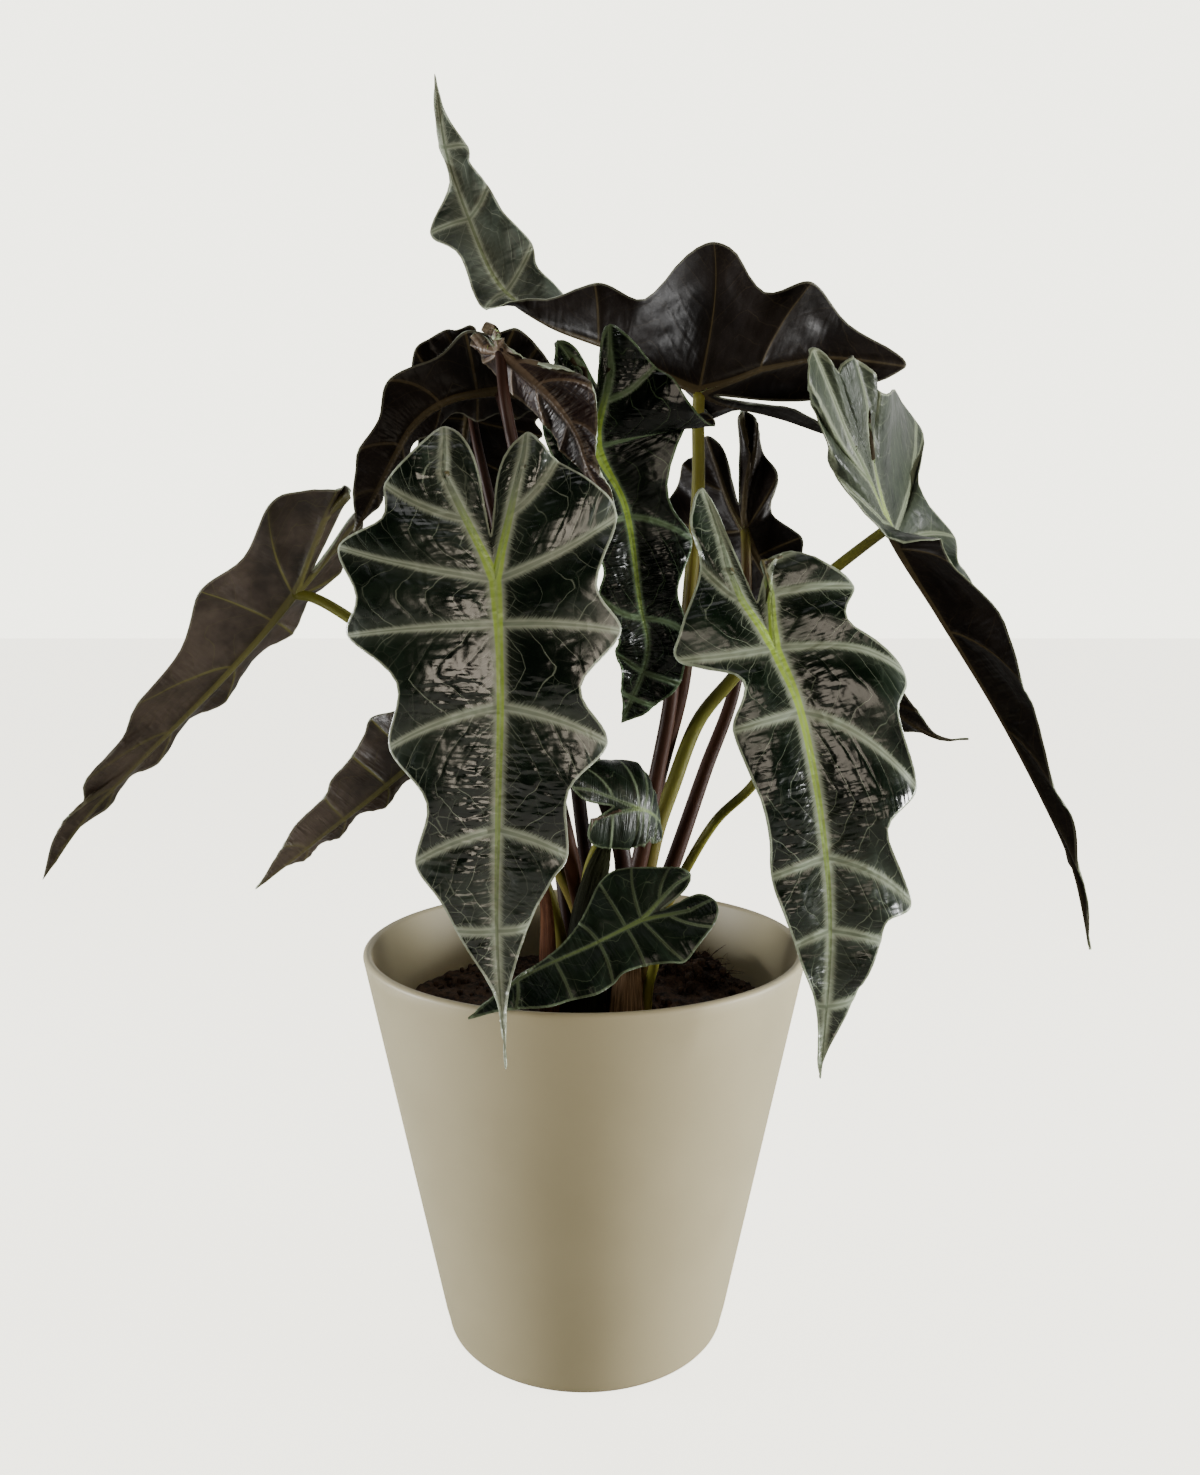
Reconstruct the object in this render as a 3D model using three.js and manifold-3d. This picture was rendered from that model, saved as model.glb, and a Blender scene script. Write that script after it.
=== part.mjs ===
// A polly alocasia in a tapered round planter. Millimetres, +Z up, the planter's foot on z = 0 and
// its axis on x = y = 0. The side that the portrait shows looks along +Y.
import * as THREE from 'three';
import { mergeVertices } from 'three/addons/utils/BufferGeometryUtils.js';
import Module from 'manifold-3d';

const wasm = await Module();
wasm.setup();

// Planter
const rimRadius = 90;
const footRadius = 57;
const potHeight = 161;
const potWall = 3.5;
const potFloor = 6;
const footRound = 4;
const potSides = 48;

// Filling
const soilTop = 132;
const soilSides = 32;
const moundHeight = 5;
const clump = { x: 46, y: 30, reach: 17, height: 9 };

// Plant
const bladeThickness = 0.9;
const gap = 0.3;
const stemDepth = 26;
const stemSides = 7;

// Colours read from the plant in daylight
const looks = {
  pot: { color: 0xb0aa96, roughness: 0.55, metalness: 0 },
  soil: { color: 0x2e231b, roughness: 0.95, metalness: 0 },
  blade: { color: 0x1f3a2c, roughness: 0.3, metalness: 0 },
  stem: { color: 0x6f6a34, roughness: 0.45, metalness: 0 },
  sheath: { color: 0x5a4030, roughness: 0.8, metalness: 0 },
};

// Small helpers.

const vec = (point) => new THREE.Vector3(point[0], point[1], point[2]);

// A smooth line through rows of numbers; t runs from 0 to rows.length - 1.
function through(rows, t) {
  const last = rows.length - 1;
  const clamped = Math.min(Math.max(t, 0), last);
  const i = Math.min(Math.floor(clamped), last - 1);
  const u = clamped - i;
  const p1 = rows[i];
  const p2 = rows[i + 1];
  const p0 = i > 0 ? rows[i - 1] : p1.map((v, k) => 2 * v - p2[k]);
  const p3 = i < last - 1 ? rows[i + 2] : p2.map((v, k) => 2 * v - p1[k]);
  return p1.map((v, k) => {
    const slope = p2[k] - p0[k];
    const bend = 2 * p0[k] - 5 * v + 4 * p2[k] - p3[k];
    const twist = -p0[k] + 3 * v - 3 * p2[k] + p3[k];
    return 0.5 * (2 * v + slope * u + bend * u * u + twist * u * u * u);
  });
}

// A value that changes along the midrib: one number, or [share, value] steps.
function along(value, share) {
  if (typeof value === 'number') return value;
  const first = value[0];
  if (share <= first[0]) return first[1];
  for (let i = 1; i < value.length; i += 1) {
    const [a, va] = value[i - 1];
    const [b, vb] = value[i];
    if (share <= b) return va + ((vb - va) * (share - a)) / (b - a);
  }
  return value[value.length - 1][1];
}

function toSolid(geometry) {
  const bare = geometry.clone();
  bare.deleteAttribute('normal');
  bare.deleteAttribute('uv');
  const merged = mergeVertices(bare, 1e-3);
  const index = merged.index.array;
  const kept = [];
  for (let i = 0; i < index.length; i += 3) {
    const [a, b, c] = [index[i], index[i + 1], index[i + 2]];
    if (a !== b && b !== c && c !== a) kept.push(a, b, c);
  }
  return new wasm.Manifold(new wasm.Mesh({
    numProp: 3,
    vertProperties: new Float32Array(merged.attributes.position.array),
    triVerts: new Uint32Array(kept),
  }));
}

function toGeometry(solid) {
  const mesh = solid.getMesh();
  const geometry = new THREE.BufferGeometry();
  geometry.setAttribute('position', new THREE.BufferAttribute(new Float32Array(mesh.vertProperties), 3));
  geometry.setIndex(new THREE.BufferAttribute(new Uint32Array(mesh.triVerts), 1));
  geometry.computeVertexNormals();
  return geometry;
}

function largestPiece(solid) {
  const pieces = solid.decompose();
  return pieces.reduce((best, piece) => (piece.volume() > best.volume() ? piece : best));
}

// A sheet of triangles grown to both sides and closed round its edge.
function thicken({ positions, triangles }, thickness) {
  const normals = positions.map(() => new THREE.Vector3());
  const borders = new Map();
  for (const [a, b, c] of triangles) {
    const ab = positions[b].clone().sub(positions[a]);
    const normal = ab.cross(positions[c].clone().sub(positions[a]));
    for (const corner of [a, b, c]) normals[corner].add(normal);
    for (const [from, to] of [[a, b], [b, c], [c, a]]) {
      if (!borders.delete(`${to},${from}`)) borders.set(`${from},${to}`, [from, to]);
    }
  }
  const count = positions.length;
  const numbers = [];
  for (const sign of [1, -1]) {
    positions.forEach((p, i) => {
      const moved = p.clone().addScaledVector(normals[i].clone().normalize(), (sign * thickness) / 2);
      numbers.push(moved.x, moved.y, moved.z);
    });
  }
  const index = [];
  for (const [a, b, c] of triangles) index.push(a, b, c, count + a, count + c, count + b);
  for (const [from, to] of borders.values()) {
    index.push(to, from, count + from, to, count + from, count + to);
  }
  const geometry = new THREE.BufferGeometry();
  geometry.setAttribute('position', new THREE.Float32BufferAttribute(numbers, 3));
  geometry.setIndex(index);
  return geometry;
}

// Leaf blades.
//
// A blade hangs on its midrib, which runs from a point behind the junction (where the stem meets
// the blade) through the junction to the tip. Each half is an outline of 17 points (out from the
// midrib, along it from the junction, both in shares of the midrib's length). Points 0, 2, 4 ...
// are where the side veins end: the tip, five side veins, a lobe's branch, the lobe's own end and
// the notch between the two lobes. The points between them are the hollows of the waved edge.

const plainRoots = [
  [0, 1], [0, 0.7], [0, 0.49], [0, 0.25], [0, 0.09], [0, 0], [0.045, -0.13], [0.08, -0.235],
];

const plainEdge = [
  [0, 1], [0.012, 0.88], [0.085, 0.765], [0.122, 0.67], [0.155, 0.585], [0.138, 0.45],
  [0.215, 0.35], [0.19, 0.2], [0.275, 0.105], [0.25, 0.005], [0.275, -0.1], [0.235, -0.175],
  [0.195, -0.235], [0.15, -0.28], [0.095, -0.315], [0.045, -0.25], [0, -0.085],
];

class Blade {
  constructor({ spine, faces, right, left, roots, width, lobes, fold, bend, wave, rows, steps }) {
    this.spine = spine;
    this.faces = faces;
    this.edges = [right ?? plainEdge, left ?? plainEdge];
    this.roots = roots ?? plainRoots;
    this.width = width ?? [1, 1];
    this.lobes = lobes ?? 1;
    this.fold = fold ?? [15, 15];
    this.bend = bend ?? [10, 10];
    this.wave = wave ?? 0.012;
    this.rows = rows ?? 3;
    this.steps = steps ?? 3;
    this.measure();
  }

  // Lengths along the midrib, counted from the junction.
  measure() {
    const count = 24 * (this.spine.length - 1);
    this.stations = [];
    let run = 0;
    let before = null;
    for (let i = 0; i <= count; i += 1) {
      const t = (i / count) * (this.spine.length - 1);
      const here = vec(through(this.spine, t));
      if (before) run += here.distanceTo(before);
      this.stations.push([run, t]);
      before = here;
    }
    const atJunction = this.stations[24][0];
    for (const station of this.stations) station[0] -= atJunction;
    this.length = run - atJunction;
  }

  // Place, direction, upper side and sideways direction at a share of the midrib.
  frame(share) {
    const run = share * this.length;
    const t = along(this.stations, run);
    const place = vec(through(this.spine, t));
    const end = this.spine.length - 1;
    const ahead = vec(through(this.spine, Math.min(t + 1e-3, end)));
    const behind = vec(through(this.spine, Math.max(t - 1e-3, 0)));
    const direction = ahead.sub(behind).normalize();
    place.addScaledVector(direction, Math.min(run - this.stations[0][0], 0));
    const upper = vec(through(this.faces, t));
    upper.addScaledVector(direction, -upper.dot(direction)).normalize();
    return { place, upper, sideways: upper.clone().cross(direction) };
  }

  // w runs round the half from tip (0) to notch (8), s from the midrib (0) to the edge (1).
  point(w, s, side) {
    const half = side > 0 ? 0 : 1;
    const rootAt = w <= 7 ? w : Math.max(7 - 2 * (w - 7), 5);
    const i = Math.min(Math.floor(rootAt), 6);
    const u = rootAt - i;
    const root = this.roots[i].map((v, k) => v * (1 - u) + this.roots[i + 1][k] * u);
    const edge = through(this.edges[half], 2 * w);
    edge[0] = Math.max(edge[0], 0);
    const arch = [root[0] + 0.55 * (edge[0] - root[0]), root[1] + 0.25 * (edge[1] - root[1])];
    const flat = [0, 1].map((k) => (1 - s) ** 2 * root[k] + 2 * s * (1 - s) * arch[k] + s * s * edge[k]);
    if (flat[1] < 0) flat[1] *= this.lobes;
    const out = flat[0] * this.width[half] * this.length;
    const { place, upper, sideways } = this.frame(flat[1]);
    const fold = THREE.MathUtils.degToRad(along(this.fold[half], flat[1]));
    const turn = THREE.MathUtils.degToRad(this.bend[half]) / (0.3 * this.length) + 1e-9;
    const angle = fold - turn * out;
    const waving = s * s * Math.min(w, 1) * Math.min(8 - w, 1) * Math.cos(2 * Math.PI * w);
    const lift = -this.wave * this.length * waving;
    const across = (Math.sin(fold) - Math.sin(angle)) / turn - lift * Math.sin(angle);
    const rise = (Math.cos(angle) - Math.cos(fold)) / turn + lift * Math.cos(angle);
    return place.addScaledVector(sideways, side * across).addScaledVector(upper, rise);
  }

  // The middle surface of both halves as one sheet of triangles.
  sheet() {
    const positions = [];
    const seen = new Map();
    const triangles = [];
    const vertex = (point) => {
      const key = point.toArray().map((v) => Math.round(v * 500)).join();
      if (!seen.has(key)) {
        seen.set(key, positions.length);
        positions.push(point);
      }
      return seen.get(key);
    };
    const stops = [];
    for (let k = 0; k <= 7 * this.steps; k += 1) stops.push(k / this.steps);
    for (let k = 1; k <= 2 * this.steps; k += 1) stops.push(7 + k / (2 * this.steps));
    for (const side of [1, -1]) {
      const grid = stops.map((w) => {
        const row = [];
        for (let j = 0; j <= this.rows; j += 1) row.push(vertex(this.point(w, j / this.rows, side)));
        return row;
      });
      for (let i = 0; i + 1 < grid.length; i += 1) {
        for (let j = 0; j < this.rows; j += 1) {
          const corners = [grid[i][j], grid[i][j + 1], grid[i + 1][j + 1], grid[i + 1][j]];
          if (side < 0) corners.reverse();
          for (const [a, b, c] of [[0, 1, 2], [0, 2, 3]]) {
            const face = [corners[a], corners[b], corners[c]];
            if (new Set(face).size === 3) triangles.push(face);
          }
        }
      }
    }
    return { positions, triangles };
  }

  solid(thickness) {
    return thicken(this.sheet(), thickness);
  }
}

// Spines and stems in millimetres. faces point out of each blade's glossy upper side.
const leaves = {
  front_left: {
    spine: [[-32, -84, 342], [-27, -98, 306], [-25, -106, 272], [-26, -108, 231], [-27, -104, 191],
      [-25, -100, 146]],
    faces: [[0, -1, 0.45], [0, -1, 0.25], [0, -1, 0.1], [0, -1, 0], [0, -1, 0], [0.1, -1, 0]],
    right: [[0, 1], [0.014, 0.855], [0.063, 0.69], [0.114, 0.578], [0.139, 0.535], [0.139, 0.405],
      [0.211, 0.314], [0.158, 0.216], [0.239, 0.118], [0.198, 0.036], [0.255, -0.1],
      [0.218, -0.163], [0.151, -0.237], [0.127, -0.268], [0.096, -0.308], [0.037, -0.237],
      [0, -0.095]],
    left: [[0, 1], [0.006, 0.85], [0.081, 0.7], [0.114, 0.626], [0.161, 0.561], [0.138, 0.437],
      [0.215, 0.336], [0.198, 0.203], [0.298, 0.092], [0.269, 0.017], [0.305, -0.113],
      [0.208, -0.147], [0.198, -0.228], [0.148, -0.27], [0.067, -0.344], [0.015, -0.267],
      [0, -0.095]],
    fold: [12, 12],
    bend: [20, 20],
    stem: [[3, -10], [2, -12, 160], [-6, -28, 205], [-14, -48, 246], [-22, -70, 284], [-27, -88, 304]],
    radii: [4.4, 2.2],
  },
  front_right: {
    spine: [[54, -78, 310], [63, -88, 284], [71, -94, 263], [78, -98, 226], [82, -94, 188],
      [81, -88, 138]],
    faces: [[0.1, -1, 0.4], [0.15, -1, 0.3], [0.15, -1, 0.2], [0.1, -1, 0.1], [0.1, -1, 0],
      [0.2, -1, 0]],
    roots: [[0, 1], [0, 0.82], [0, 0.64], [0, 0.47], [0, 0.15], [0, 0], [0.035, -0.12], [0.04, -0.2]],
    right: [[0, 1], [0.012, 0.925], [0.064, 0.808], [0.09, 0.728], [0.117, 0.674], [0.125, 0.621],
      [0.185, 0.596], [0.137, 0.427], [0.225, 0.355], [0.207, 0.197], [0.262, 0.13],
      [0.174, -0.011], [0.229, -0.09], [0.18, -0.147], [0.114, -0.206], [0.05, -0.181],
      [0, -0.114]],
    left: [[0, 1], [0.016, 0.918], [0.021, 0.821], [0.06, 0.741], [0.078, 0.669], [0.114, 0.568],
      [0.125, 0.492], [0.129, 0.351], [0.158, 0.154], [0.107, 0.045], [0.217, -0.031],
      [0.191, -0.092], [0.094, -0.226], [0.089, -0.327], [0.02, -0.41], [0.012, -0.26],
      [0, -0.114]],
    fold: [10, 12],
    bend: [20, 20],
    stem: [[22, -11], [24, -13, 158], [38, -20, 192], [50, -30, 216], [63, -46, 234],
      [68, -60, 255], [67, -76, 275]],
    radii: [2.4, 1.5],
  },
  right: {
    spine: [[94, -60, 359], [115, -22, 327], [138, -12, 295], [163, -6, 258], [185, -3, 220],
      [200, 0, 190], [208, 0, 157]],
    faces: [[0.3, -0.9, 0.3], [0.5, -0.7, 0.45], [0.62, -0.55, 0.54], [0.84, 0, 0.54],
      [0.84, 0, 0.54], [0.84, 0, 0.54], [0.84, 0, 0.54]],
    roots: [[0, 1], [0, 0.7], [0, 0.49], [0, 0.25], [0, 0.05], [0, 0.02], [0.02, -0.15], [0.03, -0.25]],
    right: [[0, 1], [0.006, 0.93], [0.03, 0.82], [0.022, 0.74], [0.07, 0.64], [0.06, 0.52],
      [0.151, 0.25], [0.114, 0.162], [0.184, 0.136], [0.154, 0.021], [0.335, 0], [0.11, -0.235],
      [0.095, -0.28], [0.08, -0.32], [0.065, -0.37], [0.03, -0.4], [0, -0.4]],
    left: [[0, 1], [0.006, 0.93], [0.022, 0.82], [0.036, 0.72], [0.055, 0.62], [0.07, 0.48],
      [0.115, 0.38], [0.12, 0.24], [0.11, 0.1], [0.09, -0.03], [0.085, -0.24], [0.09, -0.33],
      [0.07, -0.4], [0.083, -0.47], [0.03, -0.476], [0.016, -0.44], [0, -0.4]],
    fold: [[[-0.4, 0], [0, 5], [0.15, 15], [0.3, 28], [0.4, 30]],
      [[-0.3, -8], [-0.05, 10], [0.04, 75], [0.25, 60], [0.4, 30]]],
    bend: [5, 5],
    stem: [[22, -1], [22, -2, 165], [28, -4.5, 204], [35.5, -3, 226], [46, 0, 252], [60, -2, 270],
      [77, -6, 294], [97, -12, 312], [110, -19, 323]],
    radii: [4.2, 2],
  },
  top: {
    spine: [[82, -22, 370], [42, -35, 375], [14, -15, 393], [-14, 2, 407], [-34, 14, 424],
      [-47, 22, 453], [-56, 28, 480], [-61, 34, 512]],
    faces: [[0.27, 0.64, 0.77], [0.27, 0.64, 0.77], [0.3, 0.55, 0.85], [0.35, 0, 0.93],
      [0.1, -0.9, 0.4], [0, -1, 0.1], [0, -1, -0.1], [0, -1, -0.1]],
    roots: [[0, 1], [0, 0.84], [0, 0.68], [0, 0.5], [0, 0.25], [0, 0], [0.06, -0.1], [0.1, -0.22]],
    right: [[0, 1], [0.01, 0.932], [0.011, 0.854], [0.012, 0.761], [0.083, 0.682], [0.047, 0.6],
      [0.063, 0.482], [0.045, 0.4], [0.115, 0.257], [0.104, 0.176], [0.246, 0.056],
      [0.189, -0.077], [0.224, -0.15], [0.164, -0.259], [0.116, -0.386], [0.022, -0.235],
      [0, -0.03]],
    left: [[0, 1], [0.01, 0.923], [0.043, 0.834], [0.044, 0.784], [0.06, 0.735], [0.07, 0.66],
      [0.1, 0.58], [0.085, 0.48], [0.14, 0.36], [0.14, 0.22], [0.22, 0.1], [0.18, -0.02],
      [0.22, -0.12], [0.17, -0.2], [0.12, -0.33], [0.05, -0.2], [0, -0.03]],
    fold: [[[0, 38], [0.35, 30], [0.5, 10]], [[0, 38], [0.35, 30], [0.5, 10]]],
    bend: [8, 8],
    stem: [[13, 3], [15, 4, 160], [23, 4.5, 194], [29.5, 3, 227], [39, -4, 268], [41, -12, 304],
      [43, -22, 341], [42, -31, 366]],
    radii: [4.4, 2.2],
  },
  left: {
    spine: [[-76, -32, 345], [-113, -10, 302], [-145, -5, 268], [-176, -5, 238], [-200, -8, 213],
      [-216, -12, 189]],
    faces: [[-0.55, 0.72, 0.55], [-0.55, 0.72, 0.55], [-0.55, 0.72, 0.55], [-0.55, 0.72, 0.55],
      [-0.55, 0.72, 0.55], [-0.3, 0.8, 0.5]],
    right: [[0, 1], [0.046, 0.903], [0.059, 0.816], [0.042, 0.776], [0.108, 0.718],
      [0.107, 0.583], [0.175, 0.48], [0.189, 0.299], [0.297, 0.125], [0.234, -0.018],
      [0.276, -0.203], [0.196, -0.265], [0.099, -0.324], [0.07, -0.33], [0.05, -0.33],
      [0.03, -0.25], [0, -0.085]],
    width: [0.66, 0.3],
    fold: [17, 17],
    bend: [8, 8],
    stem: [[3, 1], [0, 1, 165], [-12, -2, 195], [-30, -6, 225], [-52, -10, 256], [-75, -14, 280],
      [-91, -14, 293], [-106, -11, 301]],
    radii: [4.2, 2],
  },
  low_left: {
    spine: [[-42, -34, 266], [-58, -34, 246], [-77, -34, 229], [-100, -32, 211], [-126, -30, 190]],
    faces: [[-0.4, 0.7, 0.6], [-0.4, 0.7, 0.6], [-0.4, 0.7, 0.6], [-0.4, 0.7, 0.6], [-0.4, 0.7, 0.6]],
    right: [[0, 1], [0.038, 0.898], [0.119, 0.754], [0.154, 0.646], [0.2, 0.467], [0.24, 0.397],
      [0.297, 0.248], [0.329, 0.153], [0.407, 0.065], [0.308, -0.02], [0.275, -0.1],
      [0.235, -0.175], [0.195, -0.235], [0.15, -0.28], [0.095, -0.315], [0.045, -0.25],
      [0, -0.085]],
    width: [0.75, 0.6],
    bend: [8, 8],
    rows: 2,
    steps: 2,
    stem: [[-7, -6], [-9, -8, 160], [-18, -17, 195], [-32, -27, 222], [-48, -35, 241]],
    radii: [3, 1.8],
  },
  middle: {
    spine: [[5, -62, 374], [5, -60, 352], [15, -58, 331], [20, -52, 300], [23, -46, 280],
      [14, -42, 255]],
    faces: [[0.1, -1, 0.3], [0.1, -1, 0.2], [0.1, -1, 0.1], [0.1, -1, 0.05], [0.1, -1, 0],
      [0, -1, 0.1]],
    roots: [[0, 1], [0, 0.9], [0, 0.8], [0, 0.6], [0, 0.25], [0, 0], [0.03, -0.15], [0.05, -0.25]],
    right: [[0, 1], [0.057, 0.945], [0.085, 0.897], [0.115, 0.844], [0.139, 0.802],
      [0.136, 0.733], [0.15, 0.696], [0.134, 0.514], [0.205, 0.361], [0.156, 0.199], [0.42, 0],
      [0.27, -0.197], [0.193, -0.259], [0.102, -0.351], [0.04, -0.39], [0.014, -0.33], [0, -0.2]],
    left: [[0, 1], [0.02, 0.95], [0.05, 0.9], [0.1, 0.82], [0.14, 0.74], [0.14, 0.62],
      [0.17, 0.5], [0.15, 0.4], [0.2, 0.25], [0.17, 0.1], [0.22, -0.08], [0.18, -0.2],
      [0.172, -0.256], [0.18, -0.295], [0.16, -0.337], [0.09, -0.31], [0, -0.2]],
    width: [1, 0.8],
    bend: [20, 20],
    wave: 0.02,
    stem: [[12.5, -7], [14, -8, 163], [22, -10, 197], [28, -12, 229], [34, -18, 269],
      [32, -26, 305], [24, -38, 335], [11, -52, 350]],
    radii: [4, 2],
  },
  back_right: {
    spine: [[63, 35, 367], [67, 30, 329], [90, 28, 291], [120, 26, 262], [146, 24, 243],
      [161, 20, 242]],
    faces: [[0.2, 0.8, 0.5], [0.2, 0.8, 0.5], [0.2, 0.8, 0.5], [0.2, 0.8, 0.5], [0.2, 0.8, 0.5],
      [0.2, 0.8, 0.5]],
    left: [[0, 1], [0.012, 0.9], [0.09, 0.8], [0.122, 0.7], [0.17, 0.6], [0.138, 0.45],
      [0.215, 0.35], [0.19, 0.2], [0.275, 0.105], [0.17, -0.029], [0.229, -0.16], [0.15, -0.25],
      [0.13, -0.33], [0.08, -0.375], [0.04, -0.36], [0.02, -0.27], [0, -0.085]],
    width: [0.9, 0.55],
    wave: 0.02,
    stem: [[22, 9], [25, 9, 159], [37, 11, 192], [50, 16, 229], [62, 20, 262], [67, 24, 300],
      [67, 27, 322]],
    radii: [4.2, 2],
  },
  small_upper: {
    spine: [[6, -52, 226], [20, -48, 224], [25, -43, 221], [28, -38, 217], [29, -33, 212]],
    faces: [[-0.2, -1, 0.3], [-0.2, -1, 0.3], [0.5, -1, 0.5], [0.7, -0.5, 0.5], [0.7, -0.3, 0.5]],
    right: [[0, 1], [0.012, 0.88], [0.085, 0.765], [0.122, 0.67], [0.155, 0.585], [0.138, 0.45],
      [0.215, 0.35], [0.23, 0.25], [0.281, 0.15], [0.3, -0.008], [0.336, -0.092], [0.274, -0.206],
      [0.232, -0.274], [0.142, -0.337], [0.086, -0.331], [0.02, -0.27], [0, -0.128]],
    left: [[0, 1], [0.012, 0.88], [0.085, 0.765], [0.122, 0.67], [0.155, 0.585], [0.138, 0.45],
      [0.2, 0.4], [0.19, 0.32], [0.22, 0.26], [0.22, 0.18], [0.24, 0.1], [0.24, -0.017],
      [0.252, -0.116], [0.232, -0.198], [0.173, -0.236], [0.08, -0.21], [0, -0.128]],
    width: [2.9, 2.9],
    lobes: 3.45,
    fold: [10, 10],
    bend: [20, 20],
    wave: 0.03,
    rows: 2,
    steps: 2,
    stem: [[4, -20], [0.5, -21.5, 150], [-1, -23.5, 174], [2, -31, 200], [10, -42, 216]],
    radii: [2.2, 1.4],
  },
  small_lower: {
    spine: [[39, -56, 194], [21, -62, 186], [3, -70, 179], [-20, -80, 171], [-38, -93, 161]],
    faces: [[0, -0.8, 0.7], [0, -0.8, 0.7], [0, -0.8, 0.7], [0, -0.8, 0.7], [0, -0.8, 0.7]],
    right: [[0, 1], [0.05, 0.913], [0.11, 0.8], [0.199, 0.66], [0.215, 0.501], [0.245, 0.392],
      [0.227, 0.295], [0.208, 0.233], [0.218, 0.115], [0.266, 0.008], [0.294, -0.075],
      [0.26, -0.171], [0.205, -0.288], [0.159, -0.351], [0.078, -0.373], [0.015, -0.305],
      [0, -0.116]],
    left: [[0, 1], [0.008, 0.894], [0.015, 0.752], [0.02, 0.64], [0.042, 0.508], [0.078, 0.397],
      [0.141, 0.285], [0.193, 0.201], [0.293, 0.074], [0.307, -0.008], [0.287, -0.106],
      [0.224, -0.192], [0.188, -0.279], [0.134, -0.326], [0.091, -0.343], [0.033, -0.271],
      [0, -0.116]],
    fold: [8, 8],
    bend: [15, 15],
    rows: 2,
    steps: 2,
    stem: [[24, -21], [25, -24, 148], [27, -36, 164], [24, -52, 178]],
    radii: [2.4, 1.6],
  },
  curled: {
    spine: [[-39, -66, 395], [-27, -70, 382], [-11, -74, 367], [-2, -76, 355], [3, -77, 342],
      [12, -74, 327]],
    faces: [[0.3, 0.9, 0.4], [0.3, 0.9, 0.4], [0.3, 0.9, 0.4], [0.4, 0.8, 0.3], [0.6, 0.7, 0.2],
      [0.8, 0.5, 0]],
    right: [[0, 1], [0.018, 0.887], [0.05, 0.781], [0.14, 0.681], [0.179, 0.57], [0.2, 0.454],
      [0.17, 0.398], [0.2, 0.265], [0.179, 0.162], [0.19, 0.028], [0.149, -0.144], [0.16, -0.3],
      [0.113, -0.43], [0.08, -0.48], [0.04, -0.46], [0.019, -0.3], [0, -0.085]],
    left: [[0, 1], [0.054, 0.878], [0.074, 0.779], [0.06, 0.685], [0.125, 0.606], [0.182, 0.513],
      [0.26, 0.448], [0.232, 0.358], [0.151, 0.274], [0.08, 0.156], [0.06, 0.064], [0.05, -0.084],
      [0.055, -0.171], [0.059, -0.3], [0.035, -0.4], [0.014, -0.3], [0, -0.085]],
    width: [0.75, 0.75],
    lobes: 0.35,
    fold: [20, 20],
    bend: [20, 20],
    wave: 0.02,
    rows: 2,
    steps: 2,
    stem: [[12, -17], [13, -20, 160], [15, -26, 200], [7, -32, 228], [-1, -49, 256],
      [-8, -64, 290], [-18, -71, 330], [-25, -76, 364]],
    radii: [4.2, 1.8],
  },
  back_left: {
    spine: [[-37, 8, 400], [-45, 4, 378], [-49, 4, 347], [-52, 4, 316], [-54, 4, 292]],
    faces: [[-0.2, 1, 0.3], [-0.2, 1, 0.3], [-0.2, 1, 0.3], [-0.2, 1, 0.3], [-0.2, 1, 0.3]],
    width: [1.1, 1.3],
    fold: [10, 10],
    wave: 0.02,
    stem: [[-5, 7], [-7, 8, 165], [-14, 8, 215], [-24, 4, 270], [-34, -2, 325], [-42, -4, 362]],
    radii: [3.6, 1.8],
  },
  upper_left: {
    spine: [[-15, -40, 374], [-30, -40, 374], [-47, -42, 371], [-60, -44, 362], [-70, -44, 346],
      [-87, -38, 317]],
    faces: [[-0.3, 0.8, 0.5], [-0.3, 0.8, 0.5], [-0.3, 0.8, 0.5], [-0.4, 0.8, 0.4],
      [-0.5, 0.8, 0.3], [-0.5, 0.8, 0.3]],
    width: [0.9, 0.5],
    lobes: 0.7,
    fold: [20, 20],
    stem: [[4, 11], [3, 8, 165], [-2, 2, 215], [-8, -10, 265], [-16, -26, 315], [-26, -44, 360]],
    radii: [3.6, 1.8],
  },
};

// Stems.

function circle(radius, sides) {
  const points = [];
  for (let i = 0; i < sides; i += 1) {
    const angle = (2 * Math.PI * i) / sides;
    points.push(new THREE.Vector2(radius * Math.cos(angle), radius * Math.sin(angle)));
  }
  return new THREE.Shape(points);
}

// A round stem that narrows from its root in the soil to the blade.
function stem(leaf, grow = 0) {
  const [root, ...climb] = leaf.stem;
  const junction = leaf.spine[1];
  const buried = [root[0], root[1], soilTop - stemDepth];
  const surface = [root[0], root[1], soilTop - 4];
  const path = new THREE.CatmullRomCurve3([buried, surface, ...climb, junction].map(vec));
  const steps = Math.round(path.getLength() / 19);
  const tube = new THREE.ExtrudeGeometry(circle(1, stemSides), {
    steps,
    extrudePath: path,
    bevelEnabled: false,
  });
  const stations = path.getSpacedPoints(steps);
  const [rootRadius, topRadius] = leaf.radii;
  const position = tube.attributes.position;
  const corner = new THREE.Vector3();
  for (let i = 0; i < position.count; i += 1) {
    corner.fromBufferAttribute(position, i);
    let nearest = 0;
    stations.forEach((station, k) => {
      if (station.distanceTo(corner) < stations[nearest].distanceTo(corner)) nearest = k;
    });
    const share = nearest / steps;
    const radius = topRadius + (rootRadius - topRadius) * (1 - share) + grow;
    corner.sub(stations[nearest]).multiplyScalar(radius).add(stations[nearest]);
    if (nearest === 0) corner.z -= grow;
    position.setXYZ(i, corner.x, corner.y, corner.z);
  }
  return toSolid(tube);
}

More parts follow.
